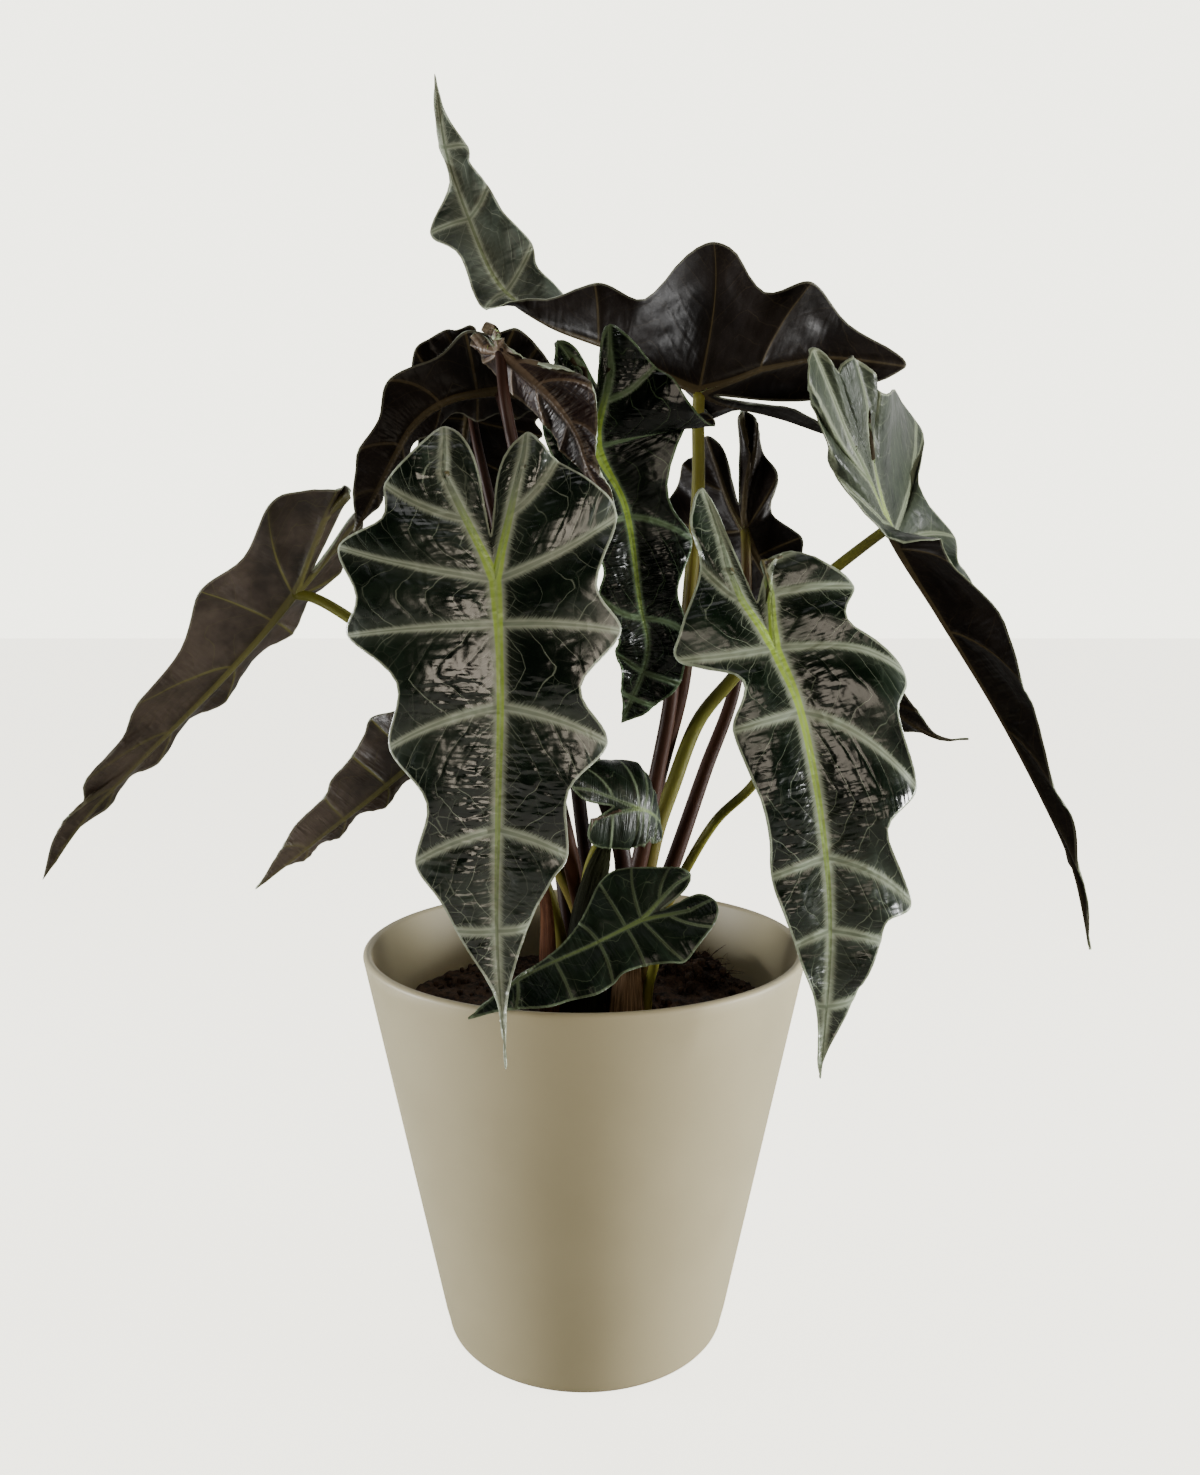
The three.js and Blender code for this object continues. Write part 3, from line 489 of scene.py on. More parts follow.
def vein_pattern():
    """Masks of a blade's veins, from the millimetres and shares that its mesh keeps."""
    w, given, out = new_group(
        "Leaf veins",
        {"Rib width": 1.5, "Vein width": 0.6, "Feather reach": 1.9, "Branch spacing": 8.0,
         "Haze": 0.1},
        ("Rib", "Painted rib highlight", "Vein", "Halo", "Net", "Edge", "Junction", "Relief"),
    )
    rib, vein, edge = w.mapped("veins")
    turn, run, share = w.mapped("panel")

    def beside_vein(scale):
        return w.joined(w.times(run, scale), w.times(vein, scale), turn)

    def beside_rib(*scales):
        return w.joined(*(w.times(part, scale) for part, scale in zip((share, rib, turn), scales)))

    def streaks(place, apart):
        return w.noise(w.joined(w.times(place, 1.5), apart), 1.0, 5.0, 0.75)

    # The midrib narrows away from the junction, and a side vein away from the midrib.
    from_junction = w.largest(share, w.times(share, -2.6))
    foot = w.fade(from_junction, 0.0, 0.16, 1.5, 1.0)
    taper = w.times(foot, w.fade(from_junction, 0.1, 1.0, 1.0, 0.3))
    rib_width = w.times(given["Rib width"], taper)
    vein_width = w.times(given["Vein width"], w.fade(run, 0.0, 45.0, 1.25, 0.45))
    w.plug(out["Rib"], w.fade(rib, w.times(rib_width, 1.12), w.times(rib_width, 0.8)))
    # A paler line down the middle of the midrib is a painted highlight.
    w.plug(out["Painted rib highlight"], w.fade(rib, w.times(rib_width, 0.55), 0.0))
    w.plug(out["Vein"], w.fade(vein, w.times(vein_width, 1.25), w.times(vein_width, 0.5)))

    # Feathers slant away from each vein, towards the edge, out of a haze round the veins.
    slant = w.times(vein, -0.8, run)
    rise = w.times(rib, -0.7, w.times(share, 170.0))
    feather = w.fade(streaks(slant, w.math("ROUND", turn)), 0.25, 0.8, 0.35, 1.7)
    rib_feather = w.fade(streaks(rise, w.math("SIGN", rise)), 0.25, 0.8, 0.4, 1.9)
    narrowing = w.times(given["Feather reach"], w.fade(run, 0.0, 45.0, 1.1, 0.7))
    reach = w.times(narrowing, feather, vein_width)
    rib_reach = w.times(given["Feather reach"], rib_feather, rib_width)
    near_vein = w.fade(vein, reach, w.times(vein_width, 0.6))
    near_rib = w.fade(rib, rib_reach, w.times(rib_width, 0.8))
    haze = w.fade(w.math("MINIMUM", vein, w.times(rib, 0.7)), 6.5, 0.5, 0.0, given["Haze"])
    w.plug(out["Halo"], w.largest(near_vein, near_rib, haze))

    # Fine veins: slanting branches, short whiskers at the midrib, and a net near the edge.
    wander = w.noise(beside_vein(0.06), 1.0, 2.0)
    patches = w.noise(beside_vein(0.05), 1.0, 2.0)
    apart = w.math("DIVIDE", slant, given["Branch spacing"])
    from_branch = w.zigzag(w.math("ADD", apart, w.times(wander, 1.1)))
    branches = w.times(w.fade(from_branch, 0.03, 0.008), w.fade(patches, 0.35, 0.6, 0.25, 1.0))
    comb = w.zigzag(w.math("ADD", w.math("DIVIDE", rise, 3.1), w.times(wander, 3.5)))
    whiskers = w.times(w.fade(comb, 0.08, 0.02), w.fade(rib, w.times(rib_reach, 2.6), rib_width))
    cells = w.filled(
        w.node("TexVoronoi", feature="DISTANCE_TO_EDGE"), vector=beside_vein(0.17), scale=1.0)[0]
    meshed = w.times(w.fade(edge, 13.0, 4.0), w.fade(patches, 0.45, 0.65, 0.15, 0.7))
    net = w.times(w.fade(cells, 0.028, 0.006), meshed)
    w.plug(out["Net"], w.largest(branches, w.times(whiskers, 0.6), net))

    # Creases square to the midrib come in patches, strongest near it and towards the tip.
    creases = w.times(w.noise(beside_rib(60.0, 0.11, 0.6), 1.0, 1.4, 0.5), 4.6, -2.3)
    patchy = w.fade(w.noise(beside_rib(9.0, 0.09, 0.4), 1.0, 2.0), 0.34, 0.54, 0.3, 1.0)
    band = w.times(w.fade(rib, 34.0, 10.0), patchy)
    creases = w.times(creases, w.times(band, w.fade(share, 0.0, 0.6, 0.5, 1.35)))

    # The blade swells between its fine veins and dips at them.
    swell = w.times(w.fade(from_branch, 0.0, 0.25), w.fade(vein, 0.0, 5.0, 0.0, 0.22))
    pillows = w.times(w.fade(cells, 0.0, 0.3), 0.22)
    w.plug(out["Relief"], w.math("ADD", w.math("ADD", swell, pillows), creases))
    w.plug(out["Edge"], w.fade(edge, 0.9, 0.5))
    w.plug(out["Junction"], w.fade(w.largest(share, w.times(share, -4.0)), 0.85, 0.1))
    return w.tree


def mottling():
    """A mask of soft blotches, for colour and roughness that drift over a surface."""
    w, given, out = new_group("Mottle", {"Scale": 60.0, "Low": 0.35, "High": 0.65}, ("Mask",))
    w.plug(out["Mask"], w.fade(w.grain(given["Scale"], 4.0, 0.6), given["Low"], given["High"]))
    return w.tree


leaf_veins = vein_pattern()
mottle = mottling()


def upper_side(name, deep, fresh, pale, lime, rib=1.4, vein=0.55, feather=2.4, haze=0.1,
               rough=0.26, crease=0.9, sheen=0.38):
    """Waxy near-black green, pale feathered veins with green cores, and a lime midrib with a
    painted highlight down its middle.
    """
    finish, w, shader = new_finish(name, sheen)
    veins = w.group(leaf_veins, rib_width=rib, vein_width=vein, feather_reach=feather, haze=haze)
    blotch = w.group(mottle, scale=45.0)["Mask"]
    core = w.mix(0.62, pale, (0.024, 0.042, 0.012))
    # The midrib turns paler down its middle: a painted highlight.
    midrib = w.mix(w.times(veins["Painted rib highlight"], 0.35), lime, pale)
    w.plug(shader["Base Color"], w.painted(
        w.mix(blotch, deep, fresh),
        (veins["Net"], 0.42, pale),
        (w.math("POWER", veins["Halo"], 1.15), 0.9, pale),
        (veins["Vein"], 0.85, core),
        (veins["Rib"], 0.95, w.mix(veins["Junction"], core, midrib)),
        (veins["Edge"], 0.75, pale),
    ))
    worn = w.fade(blotch, 0.0, 1.0, rough - 0.08, rough + 0.06)
    w.plug(shader["Roughness"], w.times(veins["Halo"], 0.25, worn))
    relief = w.bump(veins["Relief"], 0.0005, crease)
    w.plug(shader["Normal"], w.bump(w.grain(1100.0), 0.00012, 0.28, relief))
    return finish


def underside(name, dark, warm, vein, rim, net=0.22, spacing=8.0, rough=0.42, sheen=0.25):
    """Purple-brown underside with olive veins and a soft sheen."""
    finish, w, shader = new_finish(name, sheen)
    veins = w.group(
        leaf_veins, rib_width=1.2, vein_width=0.42, feather_reach=1.5, branch_spacing=spacing)
    blotch = w.group(mottle, scale=38.0)["Mask"]
    w.plug(shader["Base Color"], w.painted(
        w.mix(blotch, dark, warm),
        (veins["Net"], net, vein),
        (veins["Halo"], 0.10, vein),
        (veins["Vein"], w.fade(veins["Junction"], 0.0, 1.0, 0.25, 0.8), vein),
        (veins["Rib"], w.fade(veins["Junction"], 0.0, 1.0, 0.4, 0.95), vein),
        (veins["Edge"], 0.4, rim),
    ))
    w.plug(shader["Roughness"], w.fade(blotch, 0.0, 1.0, rough - 0.06, rough + 0.08))
    relief = w.bump(w.times(veins["Relief"], -1.0), 0.0003, 0.6)
    w.plug(shader["Normal"], w.bump(w.grain(900.0), 0.00012, 0.3, relief))
    return finish


def stem_skin(name, foot, head, from_share, to_share):
    """Smooth stem whose colour changes between two shares of its length."""
    finish, w, shader = new_finish(name, sheen=0.13)
    climb, turn, _ = w.mapped("climb")
    streak = w.noise(w.joined(w.times(climb, 5.0), w.times(turn, 9.0)), 1.0, 4.0)
    blotch = w.group(mottle, scale=70.0)["Mask"]
    uneven = w.times(w.math("SUBTRACT", streak, 0.5), 0.4, climb)
    body = w.mix(w.fade(uneven, from_share, to_share), foot, head)
    w.plug(shader["Base Color"], w.painted(body, (blotch, 0.4, w.mix(0.5, body, foot))))
    w.plug(shader["Roughness"], w.fade(streak, 0.3, 0.7, 0.4, 0.52))
    w.plug(shader["Normal"], w.bump(streak, 0.0003, 0.4))
    return finish


def papery(name, dark, light, tip):
    """Sheath with fibres along it."""
    finish, w, shader = new_finish(name, sheen=0.06, roughness=0.75)
    climb, turn, _ = w.mapped("climb")
    fibre = w.noise(w.joined(w.times(climb, 4.0), w.times(turn, 45.0)), 1.0, 3.0)
    body = w.mix(w.fade(fibre, 0.35, 0.65), dark, light)
    w.plug(shader["Base Color"], w.mix(w.fade(climb, 0.4, 1.0, 0.0, 0.5), body, tip))
    w.plug(shader["Normal"], w.bump(fibre, 0.0006, 0.7))
    return finish


def potting_soil(name):
    """Crumbly peat, dark and dry on its crests."""
    finish, w, shader = new_finish(name, sheen=0.2, roughness=0.92)
    blotch = w.group(mottle, scale=220.0)["Mask"]
    fine = w.grain(900.0, 5.0, 0.7)
    body = w.mix(blotch, (0.010, 0.006, 0.004), (0.062, 0.036, 0.021))
    dry = w.fade(fine, 0.52, 0.78, 0.0, 0.7)
    w.plug(shader["Base Color"], w.mix(dry, body, (0.16, 0.10, 0.06)))
    w.plug(shader["Normal"], w.bump(fine, 0.0015, 0.8))
    return finish


def matt_pot(name):
    """Matt greige plastic with the faintest grain."""
    finish, w, shader = new_finish(name, sheen=0.4)
    blotch = w.group(mottle, scale=14.0)["Mask"]
    w.plug(shader["Base Color"], w.mix(blotch, (0.288, 0.254, 0.152), (0.308, 0.272, 0.164)))
    w.plug(shader["Roughness"], w.fade(blotch, 0.0, 1.0, 0.48, 0.54))
    w.plug(shader["Normal"], w.bump(w.grain(1800.0), 0.00006, 0.35))
    return finish


# Leaf blades.

# Rows lie closer together at the veins, the midrib and the edge, where the surface bends most.
vein_shares = [
    0, 0.025, 0.055, 0.1, 0.16, 0.24, 0.32, 0.41, 0.5, 0.59, 0.68, 0.76, 0.84, 0.9, 0.945, 0.975,
]
across_shares = [
    0, 0.012, 0.026, 0.045, 0.075, 0.115, 0.16, 0.21, 0.26, 0.31, 0.36, 0.41, 0.46, 0.51, 0.56,
    0.61, 0.66, 0.71, 0.76, 0.81, 0.855, 0.895, 0.93, 0.96, 0.985, 1,
]
side_veins = 7
notch = side_veins + 1
junction_root = 5
vein_arch = np.array([0.55, 0.25])
bend_reach = 0.3
span_stations = 24
vein_stops = 14
merges_in_a_mm = 50
settling_rounds = 4
# Added to w on the left half, so that the finishes vary from half to half.
other_half = 20

# Heights of the skin's relief, and the lengths over which it rises and fades.
puff_height, puff_reach = 0.9, 7
ripple_height, ripple_length, ripple_slant, ripple_reach = 0.14, 7.5, 0.9, 3
pucker_height, pucker_reach, puckers_a_vein = 0.3, 13, 5
crumple_height, crumple_size = 0.45, 11
wrinkle_height, wrinkle_size, wrinkle_seed = 0.16, 4.2, 9.0
frill_height, frill_size, frill_reach, frill_seed = 0.7, 8, 5, 5.0
clear_of_rib, clear_of_edge, smooth_by_rib, frill_off_rib = 6, 7, 4, 8
rib_half_width, vein_half_width, vein_height, vein_fade = 1.5, 0.9, 0.6, 60
junction_reach, junction_ridge = 0.45, 1.1
thinning = 3
upper_ridge = 0.25


class Blade:
    """One waved blade on its midrib, of the same form as the solid that it stands for."""

    def __init__(self, spine, faces, stem, radii, right=plain_edge, left=plain_edge,
                 roots=plain_roots, width=(1, 1), lobes=1, fold=(15, 15), bend=10, wave=0.012):
        self.spine, self.faces, self.stem, self.radii = spine, faces, stem, radii
        self.edges = [np.asarray(edge, float) / table_scale for edge in (right, left)]
        self.roots = np.asarray(roots, float) / table_scale
        self.width, self.lobes, self.fold, self.bend, self.wave = width, lobes, fold, bend, wave
        last = len(spine) - 1
        self.station_t = np.linspace(0, last, span_stations * last + 1)
        places = through(spine, self.station_t)
        run = np.r_[0, np.cumsum(np.linalg.norm(np.diff(places, axis=0), axis=1))]
        self.station_run = run - run[span_stations]
        self.length = self.station_run[-1]

    def frame(self, share):
        """Place, upper side and sideways direction at a share of the midrib."""
        run = share * self.length
        t = np.interp(run, self.station_run, self.station_t)
        end, step = len(self.spine) - 1, 1e-3
        ahead = through(self.spine, np.minimum(t + step, end))
        direction = unit(ahead - through(self.spine, np.maximum(t - step, 0)))
        beyond = np.minimum(run - self.station_run[0], 0)[..., None]
        place = through(self.spine, t) + direction * beyond
        upper = through(self.faces, t)
        upper = unit(upper - (upper * direction).sum(-1, keepdims=True) * direction)
        return place, upper, np.cross(upper, direction)

    def flat(self, w, s, half):
        """Where (w, s) lies on the flattened blade: mm out from the midrib, shares along it.

        w is 0 at the tip, whole at each side vein and 8 in the notch; s is 0 at the midrib and 1
        at the edge. Beyond the last vein, roots go back up the lobe's rib to the junction.
        """
        back = np.maximum(side_veins - 2 * (w - side_veins), junction_root)
        root_at = np.where(w <= side_veins, w, back)
        i = np.minimum(root_at.astype(int), side_veins - 1)
        u = (root_at - i)[..., None]
        root = self.roots[i] * (1 - u) + self.roots[i + 1] * u
        edge = through(self.edges[half], 2 * w)
        edge[..., 0] = np.maximum(edge[..., 0], 0)
        arch = root + (edge - root) * vein_arch
        s = s[..., None]
        flat = (1 - s) ** 2 * root + 2 * s * (1 - s) * arch + s * s * edge
        share = np.where(flat[..., 1] < 0, flat[..., 1] * self.lobes, flat[..., 1])
        return flat[..., 0] * self.width[half] * self.length, share

    def surface(self, w, s, half):
        """Where (w, s) lies on the folded, bent and waved blade."""
        out, share = self.flat(w, s, half)
        place, upper, sideways = self.frame(share)
        fold = np.radians(along(self.fold[half], share))
        turn = math.radians(self.bend) / (bend_reach * self.length) + tiny
        angle = fold - turn * out
        waving = s * s * np.minimum(w, 1) * np.minimum(notch - w, 1) * np.cos(2 * np.pi * w)
        lift = -self.wave * self.length * waving
        across = (np.sin(fold) - np.sin(angle)) / turn - lift * np.sin(angle)
        rise = (np.cos(angle) - np.cos(fold)) / turn + lift * np.cos(angle)
        side = -1 if half else 1
        return place + (side * across)[..., None] * sideways + rise[..., None] * upper

    def half_maps(self, w, s, half):
        """Points of one half, with their distances from midrib, side veins, edge and root."""
        out, share = self.flat(w, s, half)
        here = np.stack([out, share * self.length], -1)
        points = here.reshape(-1, 2)
        veins = []
        for k in range(1, side_veins + 1):
            vein = self.flat(np.full(vein_stops, float(k)), np.linspace(0, 1, vein_stops), half)
            veins.append(np.stack([vein[0], vein[1] * self.length], -1))
        rib = self.roots * [self.width[half] * self.length, self.length]
        rib[:, 1] = np.where(rib[:, 1] < 0, rib[:, 1] * self.lobes, rib[:, 1])
        rib = np.vstack([rib, veins[-1][1:]])
        run = np.hypot(out - out[:, :1], (share - share[:, :1]) * self.length).ravel()
        distances = [
            distance_to_line(points, rib),
            np.min([distance_to_line(points, vein) for vein in veins], axis=0),
            distance_to_line(points, here[:, -1]),
            run,
        ]
        panel = [w.ravel() + other_half * half, run, share.ravel()]
        place = self.surface(w, s, half).reshape(-1, 3)
        return place, np.stack(distances, -1), np.stack(panel, -1)

    def mesh(self):
        """Points, faces, finish of each face, and the maps that the finishes read."""
        stops = [k + share for k in range(notch) for share in vein_shares] + [notch]
        w, s = np.meshgrid(stops, across_shares, indexing="ij")
        halves = [self.half_maps(w, s, half) for half in range(2)]
        places, flats, panels = (np.vstack(parts) for parts in zip(*halves))

        # Points that fall together become one, and a quad that loses a corner a triangle.
        _, first, merged = np.unique(
            np.round(places * merges_in_a_mm).astype(np.int64), axis=0,
            return_index=True, return_inverse=True)
        merged = merged.ravel()
        faces = []
        for quad in both_halves(*w.shape):
            kept = [quad[k] for k in range(4) if merged[quad[k]] != merged[quad[k - 1]]]
            if len({int(merged[q]) for q in kept}) == len(kept) >= 3:
                faces.append(kept)
        base = places[first]
        normals = settled_normals(base, [merged[face] for face in faces])
        lift, thin, ridge = skin(base, flats[first], panels[first])
        top = base + normals * (lift + thin + upper_ridge * ridge)[:, None]
        below = base + normals * (lift - thin - ridge)[:, None]

        # The rim joins the upper side and the underside where a face has no neighbour.
        borders = {}
        for face in faces:
            for start, end in zip(face, face[1:] + face[:1]):
                pair = (int(merged[end]), int(merged[start]))
                if borders.pop(pair, None) is None:
                    borders[pair[::-1]] = [end, start, start, end]
        rims = list(borders.values())
        backs = [face[::-1] for face in faces]
        count = len(base)
        shell = [merged[face] for face in faces]
        shell += [merged[face] + count for face in backs]
        shell += [merged[rim] + [0, 0, count, count] for rim in rims]
        finish = [0] * len(faces) + [1] * len(backs) + [0] * len(rims)
        corners = np.concatenate(faces + backs + rims)
        maps = {
            "veins": ("CORNER", flats[corners][:, :3]),
            "panel": ("CORNER", panels[corners]),
        }
        return np.vstack([top, below]), shell, finish, maps


def both_halves(rows, columns):
    """Corners of the quads of both halves, whose points lie row by row."""
    ids = np.arange(rows * columns).reshape(rows, columns)
    quads = np.stack([ids[:-1, :-1], ids[:-1, 1:], ids[1:, 1:], ids[1:, :-1]], -1).reshape(-1, 4)
    return np.vstack([quads, quads[:, ::-1] + rows * columns])


def settled_normals(points, faces):
    """Directions out of the upper side, which neighbours settle.

    Slivers where the lobes meet their ribs can face the wrong way.
    """
    normals = np.zeros_like(points)
    for face in faces:
        a, b, c, d = points[face[0]], points[face[1]], points[face[2]], points[face[-1]]
        normals[face] += np.cross(b - a, c - a) + np.cross(c - a, d - a)
    normals = unit(normals)
    for _ in range(settling_rounds):
        shared = np.zeros_like(normals)
        for face in faces:
            shared[face] += normals[face].sum(0)
        normals = unit(shared)
    return normals


def skin(base, distances, panel):
    """Lift of the waved skin, half its thickness, and the ridges of its veins, in mm."""
    rib, vein, edge, run = distances.T
    turn, share = panel[:, 0] % other_half, panel[:, 2]
    clear = (1 - bell(rib, clear_of_rib)) * np.minimum(edge / clear_of_edge, 1)
    off_rib = 1 - bell(rib, smooth_by_rib)
    puff = puff_height * (1 - bell(vein, puff_reach)) * clear
    waves = np.sin((run - ripple_slant * vein) * 2 * np.pi / ripple_length)
    ripple = ripple_height * waves * (1 - bell(vein, ripple_reach)) * clear
    puckers = np.sin(2 * np.pi * puckers_a_vein * turn)
    pucker = pucker_height * puckers * bell(rib, pucker_reach) * off_rib
    crumple = crumple_height * bumpy(base, crumple_size)
    wrinkle = wrinkle_height * bumpy(base, wrinkle_size, wrinkle_seed)
    frill = frill_height * bumpy(base, frill_size, frill_seed)
    frill = frill * bell(edge, frill_reach) * np.minimum(rib / frill_off_rib, 1)
    lift = puff + ripple + pucker + (crumple + wrinkle) * off_rib + frill
    thin = blade_thickness / 2 * (0.5 + 0.5 * np.minimum(edge / thinning, 1))
    near_junction = bell(np.abs(share), junction_reach)
    rib_ridge = bell(rib, rib_half_width) * (0.5 + junction_ridge * near_junction)
    vein_ridge = bell(vein, vein_half_width) * vein_height * np.exp(-run / vein_fade)
    return lift, thin, np.maximum(rib_ridge, vein_ridge)


# Stems and sheaths.


def eased_path(points, count):
    """Evenly spaced points on the centripetal curve through the given ones."""
    points = np.asarray(points, float)
    padded = np.vstack([2 * points[0] - points[1], points, 2 * points[-1] - points[-2]])
    dense = []
    for k in range(len(points) - 1):
        p0, p1, p2, p3 = padded[k:k + 4]
        d0, d1, d2 = (math.sqrt(np.linalg.norm(b - a)) for a, b in ((p0, p1), (p1, p2), (p2, p3)))
        start = ((p1 - p0) / d0 - (p2 - p0) / (d0 + d1) + (p2 - p1) / d1) * d1
        end = ((p2 - p1) / d1 - (p3 - p1) / (d1 + d2) + (p3 - p2) / d2) * d1
        for u in np.linspace(0, 1, stem_steps, endpoint=k == len(points) - 2):
            dense.append(p1 + start * u + (3 * (p2 - p1) - 2 * start - end) * u * u
                         + (2 * (p1 - p2) + start + end) * u ** 3)
    dense = np.array(dense)
    run = np.r_[0, np.cumsum(np.linalg.norm(np.diff(dense, axis=0), axis=1))]
    spaced = np.linspace(0, run[-1], count)
    return np.stack([np.interp(spaced, run, dense[:, k]) for k in range(3)], -1)


def stem_mesh(blade):
    """A round stem from its root in the soil to the back of its blade, which shapes its end."""
    root, *climb = blade.stem
    junction = np.asarray(blade.spine[1], float)
    path = eased_path(
        [[*root, soil_top - stem_depth], [*root, soil_top - soil_crust], *climb, junction],
        stem_rings)
    last = stem_rings - 1
    root_radius, top_radius = blade.radii
    upper = blade.frame(np.array([0.0]))[1][0]
    aside = np.array([1.0, 0.0, 0.0])
    points, climbs = [], []
    for k, centre in enumerate(path):
        share = k / last
        direction = unit(path[min(k + 1, last)] - path[max(k - 1, 0)])
        aside = unit(aside - direction * aside.dot(direction))
        radius = top_radius + (root_radius - top_radius) * (1 - share)
        for j in range(stem_sides):
            angle = 2 * math.pi * j / stem_sides
            around = math.cos(angle) * aside + math.sin(angle) * np.cross(direction, aside)
            spot = centre + radius * around
            over = float((spot - junction) @ upper)
            if share > stem_fitted_from and over > -gap:
                spot = spot - upper * (over + gap)
            points.append(spot)
            climbs.append((share, j / stem_sides, 0.0))
    return points, tube_faces(stem_rings, stem_sides), {"climb": ("POINT", climbs)}


sheaths = dict(
    left=dict(
        path=[[-10, -13, 112], [-11.5, -16, 150], [-12, -21.5, 180], [-15, -27, 205]],
        reach=7.5, facing=225,
    ),
    front=dict(
        path=[[16.5, -20, 112], [16.5, -21, 140], [17, -23, 160], [18, -26, 174]],
        reach=10, facing=270,
    ),
    young=dict(
        path=[[-1.5, -17, 112], [-0.5, -17, 150], [1.5, -20.5, 178], [5, -30, 198], [9, -38, 213]],
        reach=11.5, facing=270,
    ),
)
sheath_spread, sheath_tip_spread = 110, 6
sheath_rows, sheath_columns = 48, 22
sheath_half_thickness, sheath_edge = 0.28, 0.12
crinkle_height, fibre_height, torn_height = 0.35, 0.16, 1.2


def sheath_mesh(path, reach, facing):
    """A dry scale round the foot of a stem, ribbed along it and drawn out to a torn point."""
    rows, columns = sheath_rows, sheath_columns
    points, climbs = [], []
    for sign in (1, -1):
        for i in range(rows + 1):
            share = i / rows
            centre = through(path, share * (len(path) - 1))
            spread = sheath_spread * math.sqrt(1 - share ** 2) + sheath_tip_spread
            for j in range(columns + 1):
                step = j / columns
                angle = math.radians(facing + spread * (step - 0.5))
                crinkle = crinkle_height * noise.noise(Vector((step * 9, share * 4, facing)))
                fibre = fibre_height * math.sin(step * spread * 0.7)
                inner = 0 < j < columns and i < rows
                half = sheath_half_thickness if inner else sheath_edge
                radius = reach * (1 - 0.5 * share) + crinkle + fibre + sign * half
                torn = torn_height * noise.noise(Vector((step * 7, 3.1, facing))) * share ** 3
                outward = np.array([math.cos(angle), math.sin(angle), 0])
                points.append(centre + radius * outward + [0, 0, torn])
                climbs.append((share, step, 0.0))
    wide = columns + 1
    count = (rows + 1) * wide
    faces = []
    for i in range(rows):
        for j in range(columns):
            a = i * wide + j
            quad = [a, a + 1, a + wide + 1, a + wide]
            faces.append(quad)
            faces.append([count + q for q in quad[::-1]])
    ring = list(range(columns))
    ring += [i * wide + columns for i in range(rows)]
    ring += [rows * wide + j for j in range(columns, 0, -1)]
    ring += [i * wide for i in range(rows, 0, -1)]
    for a, b in zip(ring, ring[1:] + ring[:1]):
        faces.append([b, a, count + a, count + b])
    return points, faces, {"climb": ("POINT", climbs)}


# Planter and soil.


def turned(profile, sides):
    """A profile of (radius, height) turned round the planter's axis; closed at the axis."""
    points, faces, rings = [], [], []
    for radius, height in profile:
        if radius == 0:
            rings.append([len(points)] * sides)
            points.append((0, 0, height))
            continue
        rings.append(list(range(len(points), len(points) + sides)))
        for j in range(sides):
            angle = 2 * math.pi * j / sides
            points.append((radius * math.cos(angle), radius * math.sin(angle), height))
    for low, high in zip(rings, rings[1:]):
        for j in range(sides):
            k = (j + 1) % sides
            face = [low[j], low[k], high[k], high[j]]
            faces.append([v for n, v in enumerate(face) if v != face[n - 1]])
    return points, faces


def pot_outside(z):
    return foot_radius + (rim_radius - foot_radius) / pot_height * z


def pot_inside(z):
    return pot_outside(z) - pot_wall


def planter_mesh():
    """Outside wall, rounded lip and inside wall, with a slightly raised middle under the foot."""
    lip = pot_wall / 2
    ring = foot_radius - foot_ring
    profile = [(0, foot_hollow), (ring - 1.5, foot_hollow), (ring, 0)]
    for angle in np.radians(np.linspace(-90, 0, 7)):
        profile.append((
            foot_radius - 3.2 + foot_rounding * math.cos(angle),
            foot_rounding + foot_rounding * math.sin(angle)))
    profile += [(pot_outside(z), z) for z in np.linspace(10, pot_height - 6, wall_rows)]
    middle = pot_outside(pot_height - lip) - lip
    for angle in np.radians(np.linspace(0, 180, 9)):
        profile.append((middle + lip * math.cos(angle), pot_height - lip + lip * math.sin(angle)))
    inside = np.linspace(pot_height - 6, pot_floor + 3, wall_rows)
    profile += [(pot_inside(z), z) for z in inside]
    profile += [(pot_inside(pot_floor) - 3, pot_floor), (0, pot_floor)]
    return turned(profile, pot_sides)


def soil_rise(x, y):
    mound = mound_height * np.exp(-((np.hypot(x - mound_x, y) / mound_reach) ** 2))
    clump = clump_height * np.exp(-((np.hypot(x - clump_x, y - clump_y) / clump_reach) ** 4))
    ripple = 1.2 * np.sin(x / 6.5 + 0.7) * np.cos(y / 5.5) + 0.6 * np.sin((x + y) / 3.9)
    return mound + clump + ripple


def soil_height(x, y):
    reach = pot_inside(soil_top - soil_crust) - gap
    fade = np.clip((reach - np.hypot(x, y)) / soil_slope, 0, 1)
    return soil_top + fade * soil_rise(x, y)


def soil_mesh():
    """The filling, with a crumbly top."""
    bottom, shoulder = pot_floor + 4, soil_top - soil_crust
    room = gap + 0.4
    profile = [(0, bottom), (pot_inside(bottom) - room, bottom)]
    profile += [(pot_inside(z) - room, z) for z in np.linspace(bottom + 10, shoulder, 6)]
    top = pot_inside(shoulder) - gap
    profile += [(radius, soil_top) for radius in np.linspace(top - 1.2, 1.0, soil_rings)]
    profile.append((0, soil_top))
    points, faces = turned(profile, soil_sides)
    points = np.array(points, float)
    crest = points[:, 2] > soil_top - 1
    flat = points[crest]
    crumbs = 1.5 * bumpy(flat, 6.0) + 0.9 * bumpy(flat, 2.6, 3.0)
    crumbs = crumbs + 0.5 * np.abs(bumpy(flat, 1.3, 7.0))
    points[crest, 2] = soil_height(flat[:, 0], flat[:, 1]) + crumbs
    return points, faces


